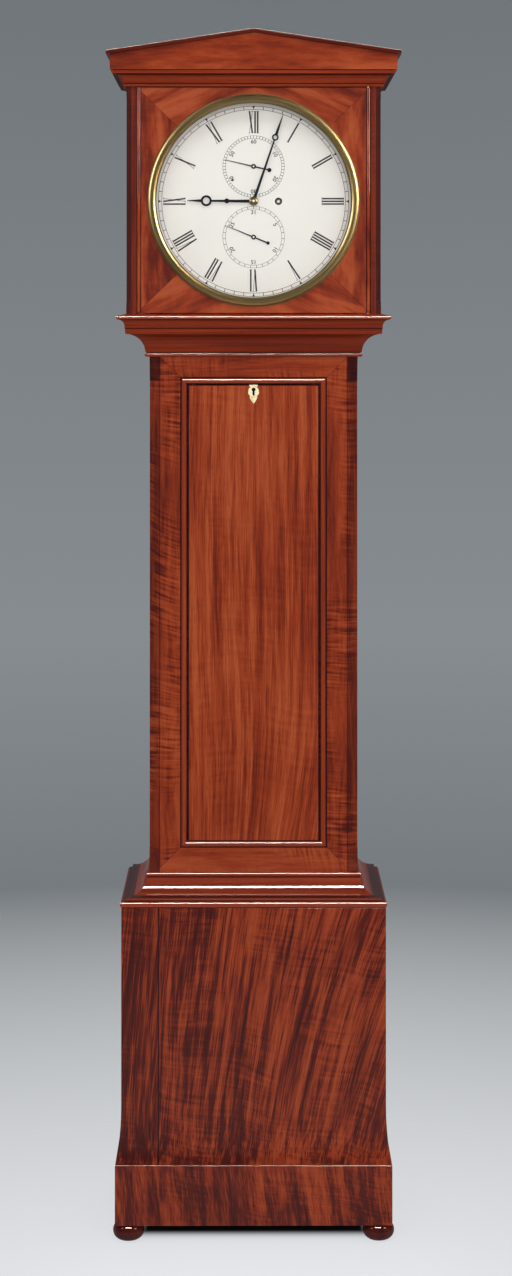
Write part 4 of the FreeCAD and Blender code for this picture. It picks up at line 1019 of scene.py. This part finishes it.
def letter_strokes(letter, x, top, foot, hairline):
    """The strokes of one letter that starts at x, and how wide it is."""
    if letter == "I":
        middle = x + BAR_W / 2
        serif = BAR_W + 2 * SERIF_REACH
        bars = [stroke((middle, foot), (middle, top), BAR_W)]
        for y in (foot, top - hairline):
            bars.append(stroke((middle, y), (middle, y + hairline), serif))
        return bars, BAR_W
    left = x + BAR_W / 2
    right = x + SLANT_W - BAR_W / 2
    middle = (left + right) / 2
    bold_foot, fine_foot = (middle, middle) if letter == "V" else (right, left)
    bars = [
        stroke((bold_foot, foot), (left, top), BAR_W),
        stroke((fine_foot, foot), (right, top), hairline),
    ]
    for y in (foot, top - hairline) if letter == "X" else (top - hairline,):
        for end in (left, right):
            bars.append(stroke((end, y), (end, y + hairline), BAR_W + SERIF_REACH))
    return bars, SLANT_W


def add_numeral(marks, word, turn, layout):
    """An hour numeral with its feet towards the dial's centre."""
    wide = sum(SLANT_W if letter in "VX" else BAR_W for letter in word) + BAR_GAP * (len(word) - 1)
    x = -wide / 2
    place = dial_frame(dial_at, turn)
    for letter in word:
        bars, width = letter_strokes(letter, x, layout.numeral_top, layout.numeral_foot, layout.hairline)
        for i, outline in enumerate(bars):
            lift = layout.relief * (1.0 + STROKE_LIFT * i)
            add_prism(marks, outline[::-1], place, lift)
        x += width + BAR_GAP


def add_small_numerals(marks, words, centre, layout):
    """Figures round a small dial, with their feet towards its centre."""
    for i, word in enumerate(words):
        text = bpy.data.curves.new("figures", "FONT")
        text.body = word
        text.size = FIGURE_SIZE
        text.align_x = "CENTER"
        text.offset = BOLD
        text.extrude = layout.relief / 2
        text.resolution_u = 3
        mesh = taken_mesh(set_out("figures", text), "figures")
        place = dial_frame(centre, math.tau * i / len(words))
        lift = Vector((0.0, layout.small_numeral, layout.relief / 2))
        mesh.transform(place @ Matrix.Translation(lift))
        marks.from_mesh(mesh)
        bpy.data.meshes.remove(mesh)


# Rules for what repeats

ROUND = {"Count": int, "Radius": float, "Centre": Vector}
UPRIGHT = math.pi / 2

# The groove of a screw by its head's radius and thickness, and the turn from one screw to the next
HEAD_SIDES = 24
GROOVE_REACH = 3.0
GROOVE_LIFT = 0.6
SCREW_TURN = 1.3

# The section of the twisted line
LOBES = 3
LOBE_WAIST = 0.78


def set_round(rule, mark):
    """Set a mark round the rule's centre on the dial, turned to point outwards."""
    radius = rule.size("Radius")
    turn = rule.node("GeometryNodeInputIndex") * math.tau / rule.size("Count")
    place = rule.vector(rule.math("SINE", turn) * radius, 0.0, rule.math("COSINE", turn) * radius)
    points = rule.node("GeometryNodePoints", None, {"Count": rule.size("Count"), "Position": place})
    marks = rule.scatter(points, mark, rule.rotation(rule.vector(0.0, turn, 0.0)))
    return rule.close(rule.move(marks, Translation=rule.size("Centre")))


def bar_rule():
    """Bars set round a centre on the dial, each pointing outwards."""
    rule = Rule("dial_bars", {**ROUND, "Size": Vector})
    return set_round(rule, rule.node("GeometryNodeMeshCube", None, {"Size": rule.size("Size")}))


def disc(rule, sides, radius, depth):
    sizes = {"Vertices": sides, "Radius": rule.size(radius), "Depth": rule.size(depth)}
    return rule.node("GeometryNodeMeshCylinder", None, sizes)


def pip_rule():
    """Three-sided pips set round a centre on the dial, each pointing inwards."""
    rule = Rule("dial_pips", {**ROUND, "Pip": float, "Relief": float})
    prism = disc(rule, 3, "Pip", "Relief")
    return set_round(rule, rule.move(prism, Rotation=(UPRIGHT, UPRIGHT, 0.0)))


def head_rule():
    """Slotted screw heads on the points of a mesh, facing along an axis."""
    rule = Rule("slotted_heads", {"Head": float, "Slot": float, "Thickness": float, "Turn": Vector})
    thickness = rule.size("Thickness")
    groove_size = rule.vector(rule.size("Head") * GROOVE_REACH, rule.size("Slot"), thickness)
    groove = rule.node("GeometryNodeMeshCube", None, {"Size": groove_size})
    lifted = rule.move(groove, Translation=rule.vector(0.0, 0.0, thickness * GROOVE_LIFT))
    both = {"Mesh 1": disc(rule, HEAD_SIDES, "Head", "Thickness"), "Mesh 2": lifted}
    cut = rule.node("GeometryNodeMeshBoolean", {"operation": "DIFFERENCE"}, both)
    slant = rule.rotation(rule.vector(0.0, 0.0, rule.node("GeometryNodeInputIndex") * SCREW_TURN))
    turns = {"Rotation": rule.rotation(rule.size("Turn")), "Rotate By": slant}
    spin = rule.node("FunctionNodeRotateRotation", {"rotation_space": "LOCAL"}, turns)
    return rule.close(rule.scatter(rule.size("Geometry"), cut, spin))


def add_heads(name, places, turn, finish, sizes):
    """Slotted screw heads on the case, turned about X to face forwards or back."""
    seeds = bpy.data.meshes.new(name + "_places")
    seeds.from_pydata(places, [], [])
    values = {**sizes, "Turn": Vector((turn, 0.0, 0.0)), "Finish": finish}
    add_piece(name, head_rule().grow(name, values, seeds), "case")


def twist_rule():
    """A three-lobed strand laid along a curve, with an even twist."""
    rule = Rule("twisted_strand", {"Thickness": float, "Lay": float, "Step": float})
    route = {"Curve": rule.size("Geometry"), "Length": rule.size("Step")}
    path = rule.node("GeometryNodeResampleCurve", {"mode": "LENGTH"}, route)
    along = rule.node("GeometryNodeSplineParameter", output="Length")
    tilt = {"Curve": path, "Tilt": along * math.tau / rule.size("Lay")}
    half = rule.size("Thickness") / 2.0
    star = {"Points": LOBES, "Inner Radius": half * LOBE_WAIST, "Outer Radius": half}
    strand = {
        "Curve": rule.node("GeometryNodeSetCurveTilt", None, tilt),
        "Profile Curve": rule.node("GeometryNodeCurveStar", None, star),
        "Fill Caps": True,
    }
    return rule.close(rule.node("GeometryNodeCurveToMesh", None, strand))


# Operators

SIDE = ("z_side",)
LENGTHS = ("x", "y", "y")
BACK_PLANK = 0.118
LEVEL_PLANK = 0.4
ROD_PLANK = 0.2
SCREW_INSET = 0.009
BACK_SCREWS = (("backboard", 9, 0.05), ("base_back", 4, 0.04))
BACK_HEAD = {"Head": 0.0042, "Slot": 0.0009, "Thickness": 0.0006}
PILLAR_INSET = 0.005
PLATE_HEAD = {"Head": 0.0043, "Slot": 0.0011, "Thickness": 0.0012}
LINE_W = 0.0016
LINE_LAY = 0.007
LINE_STEP = 0.0009
LINE_HANDLE = 0.1
BARREL_TURNS = 6
BARREL_PITCH = 0.0018
WHEEL_JOINTS = {
    "barrel": "barrel_wind",
    "great_wheel": "great_turn",
    "centre_wheel": "minute_turn",
    "third_wheel": "third_turn",
    "escape_wheel": "seconds_turn",
    "minute_wheel": "minute_wheel_turn",
    "hour_wheel": "hour_turn",
    "date_wheel": "date_turn",
}


class DressOperator:
    """What the operators share: each makes its pieces, or raises an error."""

    bl_options = {"REGISTER", "UNDO"}

    def execute(self, context):
        self.dress(context)
        return {"FINISHED"}


class CLOCK_OT_case(DressOperator, bpy.types.Operator):
    """Polish the base and the trunk."""

    bl_idname = "clock.polish_case"
    bl_label = "Polish the case"

    def dress(self, context):
        gloss = context.scene.clock_wood.gloss
        nodes = ("base_moulding", "trunk_top_moulding", "hood_base_frame")
        moulding = moulding_wood("mahogany_moulding", 0.36, 0.80, gloss, nodes=nodes, hollow=HOOD_HOLLOW)
        side = straight_veneer("mahogany_side", 0.30, 0.80, bands=45.0, wander=0.03, band_gain=1.8,
                               ripple_gain=0.4)
        plinth = straight_veneer("mahogany_plinth", 0.12, 0.78, lean=0.12, bands=80.0, stretch=0.12,
                                 wander=0.02, band_gain=1.8, line_gain=1.2, ripples=210.0,
                                 ripple_gain=0.6, cloud_gain=0.9)
        veneer = frame_veneer()
        polished("base_front", base_veneer(), mitre="xy")
        polished("base_sides", side, SIDE, mitre="xy")
        polished("plinth_moulding", plinth, ("z", "z_side", "z_side"), mitre="xy")
        polished("base_moulding", moulding, LENGTHS, mitre="xy")
        polished("trunk_stiles", veneer)
        polished("trunk_rails", veneer)
        polished("trunk_door_bead", moulding, ("z", "z", "x", "x"), mitre="xz")
        polished("trunk_top_moulding", moulding, LENGTHS, mitre="xy")
        polished("trunk_sides", side, SIDE)
        paint_node(turned_wood(), "bun_feet")


class CLOCK_OT_trunk_door(DressOperator, bpy.types.Operator):
    """Polish the trunk door and dress its lock."""

    bl_idname = "clock.polish_trunk_door"
    bl_label = "Polish the trunk door"

    def dress(self, context):
        metal = context.scene.clock_metal
        polished("trunk_door", door_veneer())
        paint_node(escutcheon_finish(), "escutcheon")
        paint_node(steel_finish("lock_iron", metal.blued, 0.5), "trunk_lock")
        paint_node(steel_finish("bolt_steel", metal.steel, 0.38), "lock_bolt")


class CLOCK_OT_hood(DressOperator, bpy.types.Operator):
    """Polish the hood and its pediment."""

    bl_idname = "clock.polish_hood"
    bl_label = "Polish the hood"

    def dress(self, context):
        cornice = moulding_wood("mahogany_cornice", 0.40, 0.84, THIN_POLISH, nodes=("hood_cornice",))
        gable = straight_veneer("mahogany_pediment", 0.38, 0.90, lean=0.16, bands=30.0, stretch=0.15,
                                wander=0.05, band_gain=1.7, line_gain=0.9, cloud_gain=1.3)
        polished("hood_sides", bpy.data.materials["mahogany_side"], SIDE)
        polished("hood_posts", post_veneer())
        polished("hood_base_frame", bpy.data.materials["mahogany_moulding"], LENGTHS, mitre="xy")
        polished("hood_cornice", cornice, LENGTHS, mitre="xy")
        polished("pediment_boards", gable, LENGTHS)
        polished("pediment_cap", moulding_wood("mahogany_cap", 0.06, 0.40, 0.3, contrast=0.6), ("x",))


class CLOCK_OT_hood_door(DressOperator, bpy.types.Operator):
    """Polish the hood door and dress its bezel, glass and pivots."""

    bl_idname = "clock.polish_hood_door"
    bl_label = "Polish the hood door"

    def dress(self, context):
        polished("hood_door", hood_veneer())
        bezel = turned_brass("bezel_brass", dial_at, 0.40, context.scene.clock_metal.bezel)
        paint_node(bezel, "door_bezel")
        paint_node(glass_finish(), "door_glass")
        paint_node(brass_finish("pivot_brass"), "door_pivots")


class CLOCK_OT_carcase(DressOperator, bpy.types.Operator):
    """Finish the boards that do not show from the front, and screw on the back."""

    bl_idname = "clock.finish_carcase"
    bl_label = "Finish the carcase"

    def dress(self, context):
        paint_node(carcase_wood("carcase_upright", BACK_PLANK), "base_back", "backboard")
        level = carcase_wood("carcase_level", LEVEL_PLANK, upright=False)
        paint_node(level, "base_floor", "hood_guides", "seatboard")
        steel = steel_finish("screw_steel", context.scene.clock_metal.steel, 0.42)
        add_heads("backboard_screws", self.screw_places(), -UPRIGHT, steel, BACK_HEAD)

    def screw_places(self):
        """Down both edges of the backboard and of the base's back."""
        places = []
        for node, count, margin in BACK_SCREWS:
            low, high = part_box(node)
            for i in range(count):
                z = low.z + margin + (high.z - low.z - 2 * margin) * i / (count - 1)
                places += [(x, high.y, z) for x in (low.x + SCREW_INSET, high.x - SCREW_INSET)]
        return places


class CLOCK_OT_dial(DressOperator, bpy.types.Operator):
    """Silver the dial and cut its numerals and tracks."""

    bl_idname = "clock.engrave_dial"
    bl_label = "Engrave the dial"

    def dress(self, context):
        layout = context.scene.clock_dial
        paint_node(silver_finish(), "dial_plate")
        paint_node(steel_finish("foot_steel", context.scene.clock_metal.steel), "dial_feet")
        wax = wax_finish()
        self.cut_numerals(layout, wax)
        bars = bar_rule()
        minutes = (layout.track_outer, layout.track_inner)
        small = (layout.small_outer, layout.small_inner)
        self.cut_track(bars, "minute_ticks", dial_at, 60, minutes, TICK_HAIRS, layout, wax)
        self.cut_pips(layout, wax)
        for name, centre, count in (("seconds_ticks", seconds_at, 60), ("date_ticks", date_at, 31)):
            self.cut_track(bars, name, centre, count, small, SMALL_TICK_HAIRS, layout, wax)

    def cut_numerals(self, layout, wax):
        marks = bmesh.new()
        for i, word in enumerate(ROMAN):
            add_numeral(marks, word, math.tau * i / len(ROMAN), layout)
        for radius in (layout.track_outer, layout.track_inner):
            add_ring(marks, dial_at, radius, layout.hairline, layout.relief)
        small_hair = layout.hairline * SMALL_RING_HAIRS
        for centre in (seconds_at, date_at):
            for radius in (layout.small_outer, layout.small_inner):
                add_ring(marks, centre, radius, small_hair, layout.relief, SMALL_RING_STEPS)
        add_ring(marks, winding_at, WINDING_HOLE + HOLE_RIM / 2, HOLE_RIM, layout.relief, HOLE_STEPS)
        add_small_numerals(marks, SECONDS, seconds_at, layout)
        add_small_numerals(marks, DATES, date_at, layout)
        mesh = bpy.data.meshes.new("dial_numerals")
        bmesh.ops.recalc_face_normals(marks, faces=marks.faces)
        marks.to_mesh(mesh)
        marks.free()
        mesh.materials.append(wax)
        add_piece("dial_numerals", mesh, "case")

    def cut_track(self, rule, name, centre, count, ends, hairs, layout, wax):
        """Bars between the two lines of a track, each as wide as so many hairlines."""
        outer, inner = ends
        size = Vector((layout.hairline * hairs, layout.relief * TICK_RELIEFS, outer - inner))
        sizes = {"Count": count, "Radius": (outer + inner) / 2, "Size": size, "Centre": centre}
        add_piece(name, rule.grow(name, {**sizes, "Finish": wax}), "case")

    def cut_pips(self, layout, wax):
        """A pip at each hour, on the outer line of the minute track."""
        values = {
            "Count": len(ROMAN),
            "Radius": layout.track_outer - PIP_INSET,
            "Pip": PIP,
            "Centre": dial_at,
            "Relief": layout.relief * PIP_RELIEFS,
            "Finish": wax,
        }
        add_piece("hour_pips", pip_rule().grow("hour_pips", values), "case")


class CLOCK_OT_hands(DressOperator, bpy.types.Operator):
    """Blue the hands and polish their collet."""

    bl_idname = "clock.blue_hands"
    bl_label = "Blue the hands"

    def dress(self, context):
        metal = context.scene.clock_metal
        blued = steel_finish("blued_steel", metal.blued, 0.3, 0.7)
        paint_node(blued, "hour_hand", "minute_hand", "seconds_hand", "date_hand")
        paint_node(turned_brass("collet_brass", dial_at, 0.34, metal.bezel), "hand_collet")


class CLOCK_OT_movement(DressOperator, bpy.types.Operator):
    """Finish the plates, wheels, escapement and screws."""

    bl_idname = "clock.finish_movement"
    bl_label = "Finish the movement"

    def dress(self, context):
        plate = brass_finish("plate_brass", 0.3, 0.5)
        steel = steel_finish("polished_steel", context.scene.clock_metal.steel, 0.2)
        paint_node(plate, "front_plate", "back_plate", "plate_pillars", "pendulum_cock")
        for node, joint in WHEEL_JOINTS.items():
            paint_node(wheel_brass(node, joint_at[joint]), node)
        paint_node(steel, "click", "pallets", "crutch", "movement_screws", "suspension_spring")
        self.slot_screws(steel)

    def slot_screws(self, steel):
        """Slotted tops on the screws that hold the plates to the pillars."""
        low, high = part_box("plate_pillars")
        across = (low.x + PILLAR_INSET, high.x - PILLAR_INSET)
        up = (low.z + PILLAR_INSET, high.z - PILLAR_INSET)
        front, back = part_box("movement_screws")
        sides = (("front_screw_tops", front.y, UPRIGHT), ("back_screw_tops", back.y, -UPRIGHT))
        for name, y, turn in sides:
            places = [(x, y, z) for x in across for z in up]
            add_heads(name, places, turn, steel, PLATE_HEAD)


class CLOCK_OT_line(DressOperator, bpy.types.Operator):
    """Lay the gut line round the weight's pulley and on the barrel."""

    bl_idname = "clock.lay_line"
    bl_label = "Lay the gut line"

    def dress(self, context):
        rule = twist_rule()
        sizes = {"Thickness": LINE_W, "Lay": LINE_LAY, "Step": LINE_STEP, "Finish": gut_finish()}
        piece = set_out("twisted_gut_line", rule.grow("twisted_gut_line", sizes, self.route()))
        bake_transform(piece)
        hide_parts("gut_line")
        add_piece("barrel_turns", rule.grow("barrel_turns", sizes, self.winding()), "barrel")

    def route(self):
        """From the barrel's left edge, under the pulley and up to the seatboard."""
        low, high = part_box("gut_line")
        left = low.x + LINE_W / 2
        right = high.x - LINE_W / 2
        pulley = joint_at["pulley_turn"]
        reach = (right - left) / 2
        handle = reach * 4 / 3 * math.tan(math.pi / 8)
        rise = (0.0, LINE_HANDLE)
        fall = (0.0, -LINE_HANDLE)
        stops = [
            ((left, high.z), rise, fall),
            ((left, pulley.z), rise, (0.0, -handle)),
            ((pulley.x, pulley.z - reach), (-handle, 0.0), (handle, 0.0)),
            ((right, pulley.z), (0.0, -handle), rise),
            ((right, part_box("seatboard")[0].z), fall, rise),
        ]
        curve = bpy.data.curves.new("line_route", "CURVE")
        curve.dimensions = "3D"
        curve.resolution_u = 32
        spline = curve.splines.new("BEZIER")
        spline.bezier_points.add(len(stops) - 1)
        for point, (at, before, after) in zip(spline.bezier_points, stops):
            point.handle_left_type = "FREE"
            point.handle_right_type = "FREE"
            point.co = (at[0], pulley.y, at[1])
            point.handle_left = (at[0] + before[0], pulley.y, at[1] + before[1])
            point.handle_right = (at[0] + after[0], pulley.y, at[1] + after[1])
        return curve

    def winding(self):
        """Turns on the barrel, from its back flange to where the line leaves it."""
        axis = joint_at["barrel_wind"]
        radius = axis.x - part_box("gut_line")[0].x - LINE_W / 2
        steps = 24
        curve = bpy.data.curves.new("barrel_winding", "CURVE")
        curve.dimensions = "3D"
        spline = curve.splines.new("NURBS")
        spline.points.add(BARREL_TURNS * steps - 1)
        for i, point in enumerate(spline.points):
            turn = math.tau * i / steps
            x = axis.x - radius * math.cos(turn)
            z = axis.z + radius * math.sin(turn)
            point.co = (x, axis.y + BARREL_PITCH * i / steps, z, 1.0)
        spline.order_u = 3
        spline.use_endpoint_u = True
        return curve


class CLOCK_OT_pendulum(DressOperator, bpy.types.Operator):
    """Finish the pendulum, the weight and its pulley."""

    bl_idname = "clock.finish_pendulum"
    bl_label = "Finish the pendulum and weight"

    def dress(self, context):
        low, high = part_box("pendulum_bob")
        paint_node(turned_brass("bob_brass", (low + high) / 2), "pendulum_bob")
        paint_node(carcase_wood("rod_wood", ROD_PLANK), "pendulum_rod")
        paint_node(brass_finish("weight_brass", 0.26, 0.5), "weight", "rating_nut")
        paint_node(turned_brass("pulley_brass", joint_at["pulley_turn"]), "pulley")
        paint_node(steel_finish("stirrup_steel", context.scene.clock_metal.steel), "pulley_stirrup")


# The floor, the lamps and the camera, which is nearly level and shifted down
FLOOR_RADIUS = 6.0
FLOOR_SIDES = 128
FLOOR_DROP = -0.0002
FLOOR_FADE = (-0.6, 2.85)
FLOOR_BRIGHT_Y = -0.6
FLOOR_GLOW = 1.95
FLOOR_GLOW_SHARE = 0.6
# Where the shadow painted under the plinth sets in, and how dark it is
PLINTH_SHADE = (-0.05, -0.012)
PLINTH_PAINTED_SHADOW = 0.06
SKY_HEIGHTS = (-0.3, 0.2)
SKY_STOPS = (0.12, 0.34, 0.9)
LAMP_TARGET = Vector((0.0, 0.0, 1.05))
GLOSS_TINT = (1.0, 0.83, 0.68)
PANEL_HEIGHT = 2.55
CAMERA_AT = (-0.0078, -3.7161, 1.4321)
CAMERA_TURN = (math.pi / 2 + 0.0077, 0.0, -0.0032)
CAMERA_SENSOR = 36.0
CAMERA_LENS = 64.02
CAMERA_REACH = 60.0
CAMERA_SHIFT = -0.25


class CLOCK_OT_stage(DressOperator, bpy.types.Operator):
    """Set the floor, the background, the lamps and the camera."""

    bl_idname = "clock.set_stage"
    bl_label = "Set the stage"

    def dress(self, context):
        stage = context.scene.clock_stage
        context.scene.view_settings.view_transform = "Standard"
        self.lay_floor(stage)
        self.hang_background(context, stage)
        self.hang_lamps(context, stage)
        self.place_camera(context)

    def hang_lamps(self, context, stage):
        """Soft lamps that reflections don't show, and a lamp and panels that only reflections show."""
        top = self.hang_lamp("top_soft", (0.0, -1.7, 3.3), (2.4, 0.8), stage.top)
        front = self.hang_lamp("front_soft", (0.3, -5.2, 1.9), (3.2, 2.4), stage.fill)
        left = self.hang_lamp("left_rear", (-3.0, 2.8, 2.0), (2.0, 2.0), stage.rear)
        right = self.hang_lamp("right_rear", (3.0, 2.8, 2.0), (2.0, 2.0), stage.rear)
        for lamp in (top, front, left, right):
            lamp.visible_glossy = False
        gloss = self.hang_lamp("gloss", (-0.2, -1.7, 3.3), (2.4, 0.6), stage.gloss)
        gloss.data.color = GLOSS_TINT
        mirrored = [gloss]
        level = Vector((0.0, 0.0, PANEL_HEIGHT))
        for name, x, part in (("left_panel", -2.3, 0.8), ("right_panel", 2.3, 1.5)):
            at = (x, -0.9, PANEL_HEIGHT)
            mirrored.append(self.hang_lamp(name, at, (1.0, 1.5), stage.rim * part, level))
        for lamp in mirrored:
            lamp.visible_diffuse = False
        self.light_only(context, (front, left, right), "clock", "")
        self.light_only(context, (gloss,), "polished_wood", "mahogany")

    def lay_floor(self, stage):
        """A pale disc that fades into the background, with a shadow painted on it under the plinth."""
        sheet = bmesh.new()
        bmesh.ops.create_circle(sheet, cap_ends=True, segments=FLOOR_SIDES, radius=FLOOR_RADIUS)
        bmesh.ops.translate(sheet, verts=sheet.verts, vec=(0.0, 0.0, FLOOR_DROP))
        mesh = bpy.data.meshes.new("floor")
        sheet.to_mesh(mesh)
        sheet.free()
        paint = Paint("studio_floor")
        x, y, _ = paint.place()
        low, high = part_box("plinth_moulding")
        ahead = abs(y - (low.y + high.y) / 2) - (high.y - low.y) / 2
        outside_plinth_shadow = paint.step(paint.math("MAXIMUM", abs(x) - high.x, ahead), *PLINTH_SHADE)
        mottle = paint.noise((x, y, 0.0), 3.0)
        tint = paint.mix(mottle * 0.1, stage.floor, toned(stage.floor, 0.9))
        # Painted shadow: the floor is coloured dark under the plinth
        tint = paint.mix(outside_plinth_shadow, toned(stage.floor, PLINTH_PAINTED_SHADOW), tint)
        matt = {"Base Color": tint, "Roughness": 0.8, "Specular IOR Level": 0.1}
        pale = paint.node("ShaderNodeBsdfPrincipled", None, matt)
        clear = paint.node("ShaderNodeBsdfTransparent")
        shine = {"Color": (*stage.floor, 1.0), "Strength": FLOOR_GLOW}
        glow = paint.node("ShaderNodeEmission", None, shine)
        lit = paint.blend(self.seen(paint) * outside_plinth_shadow * FLOOR_GLOW_SHARE, pale, glow)
        fade = paint.ramp(paint.radius(x, y - FLOOR_BRIGHT_Y), FLOOR_FADE)
        mesh.materials.append(paint.finish(paint.blend(fade * outside_plinth_shadow, lit, clear)))
        set_out("floor", mesh)

    def hang_background(self, context, stage):
        """Mid grey to the eye and in reflections, even white light for the rest."""
        world = bpy.data.worlds.new("studio")
        context.scene.world = world
        world.use_nodes = True
        sky = Bench(world.node_tree)
        z = sky.split(sky.node("ShaderNodeTexCoord", output="Generated"))[2]
        stops = list(zip(SKY_STOPS, (stage.low, stage.middle, stage.high)))
        grey = sky.node("ShaderNodeValToRGB", {"stops": stops}, {"Fac": sky.ramp(z, SKY_HEIGHTS)})
        shown = sky.node("ShaderNodeBackground", None, {"Color": grey, "Strength": 1.0})
        white = {"Color": (1.0, 1.0, 1.0, 1.0), "Strength": stage.ambient}
        light = sky.node("ShaderNodeBackground", None, white)
        sky.node("ShaderNodeOutputWorld", None, {"Surface": sky.blend(self.seen(sky), light, shown)})

    def seen(self, bench):
        """1 for what the eye sees, straight or by reflection or through glass, and 0 for light."""
        path = bench.node("ShaderNodeLightPath")
        rays = path.pick("Is Camera Ray") + path.pick("Is Glossy Ray") + path.pick("Is Transmission Ray")
        return bench.math("MINIMUM", rays, 1.0)

    def light_only(self, context, lamps, group, finish):
        """Let lamps reach only the pieces whose finish has a name that starts so, and never the floor."""
        lit = bpy.data.collections.new(group)
        for piece in context.scene.objects:
            finishes = [slot.name for slot in piece.material_slots]
            if piece.name != "floor" and any(name.startswith(finish) for name in finishes):
                lit.objects.link(piece)
        for lamp in lamps:
            lamp.light_linking.receiver_collection = lit

    def hang_lamp(self, name, at, size, watts, target=LAMP_TARGET):
        lamp = bpy.data.lights.new(name, "AREA")
        lamp.shape = "RECTANGLE"
        lamp.size, lamp.size_y = size
        lamp.energy = watts
        holder = set_out(name, lamp)
        holder.location = at
        holder.rotation_euler = (target - Vector(at)).to_track_quat("-Z", "Y").to_euler()
        return holder

    def place_camera(self, context):
        lens = bpy.data.cameras.new("camera")
        lens.sensor_width = CAMERA_SENSOR
        lens.lens = CAMERA_LENS
        lens.shift_y = CAMERA_SHIFT
        lens.clip_end = CAMERA_REACH
        camera = set_out("camera", lens)
        camera.location = CAMERA_AT
        camera.rotation_euler = CAMERA_TURN
        context.scene.camera = camera


class CLOCK_PT_sidebar(bpy.types.Panel):
    """Lists the steps of dressing the clock."""

    bl_idname = "CLOCK_PT_sidebar"
    bl_label = "Regulator clock"
    bl_space_type = "VIEW_3D"
    bl_region_type = "UI"
    bl_category = "Clock"

    def draw(self, context):
        for name in SETTINGS:
            box = self.layout.box()
            settings = getattr(context.scene, name)
            for key in settings.__annotations__:
                box.prop(settings, key)
        for operator in OPERATORS:
            self.layout.operator(operator.bl_idname)


SETTINGS = {
    "clock_wood": WoodFinish,
    "clock_metal": MetalFinish,
    "clock_dial": DialLayout,
    "clock_stage": StageSetting,
}
OPERATORS = (
    CLOCK_OT_case,
    CLOCK_OT_trunk_door,
    CLOCK_OT_hood,
    CLOCK_OT_hood_door,
    CLOCK_OT_carcase,
    CLOCK_OT_dial,
    CLOCK_OT_hands,
    CLOCK_OT_movement,
    CLOCK_OT_line,
    CLOCK_OT_pendulum,
    CLOCK_OT_stage,
)


def register():
    for cls in (*SETTINGS.values(), *OPERATORS, CLOCK_PT_sidebar):
        bpy.utils.register_class(cls)
    for name, cls in SETTINGS.items():
        setattr(bpy.types.Scene, name, PointerProperty(type=cls))


def unregister():
    for name in SETTINGS:
        delattr(bpy.types.Scene, name)
    for cls in (CLOCK_PT_sidebar, *reversed(OPERATORS), *SETTINGS.values()):
        bpy.utils.unregister_class(cls)


def main():
    register()
    for operator in OPERATORS:
        group, name = operator.bl_idname.split(".")
        getattr(getattr(bpy.ops, group), name)()


if __name__ == "__main__":
    main()
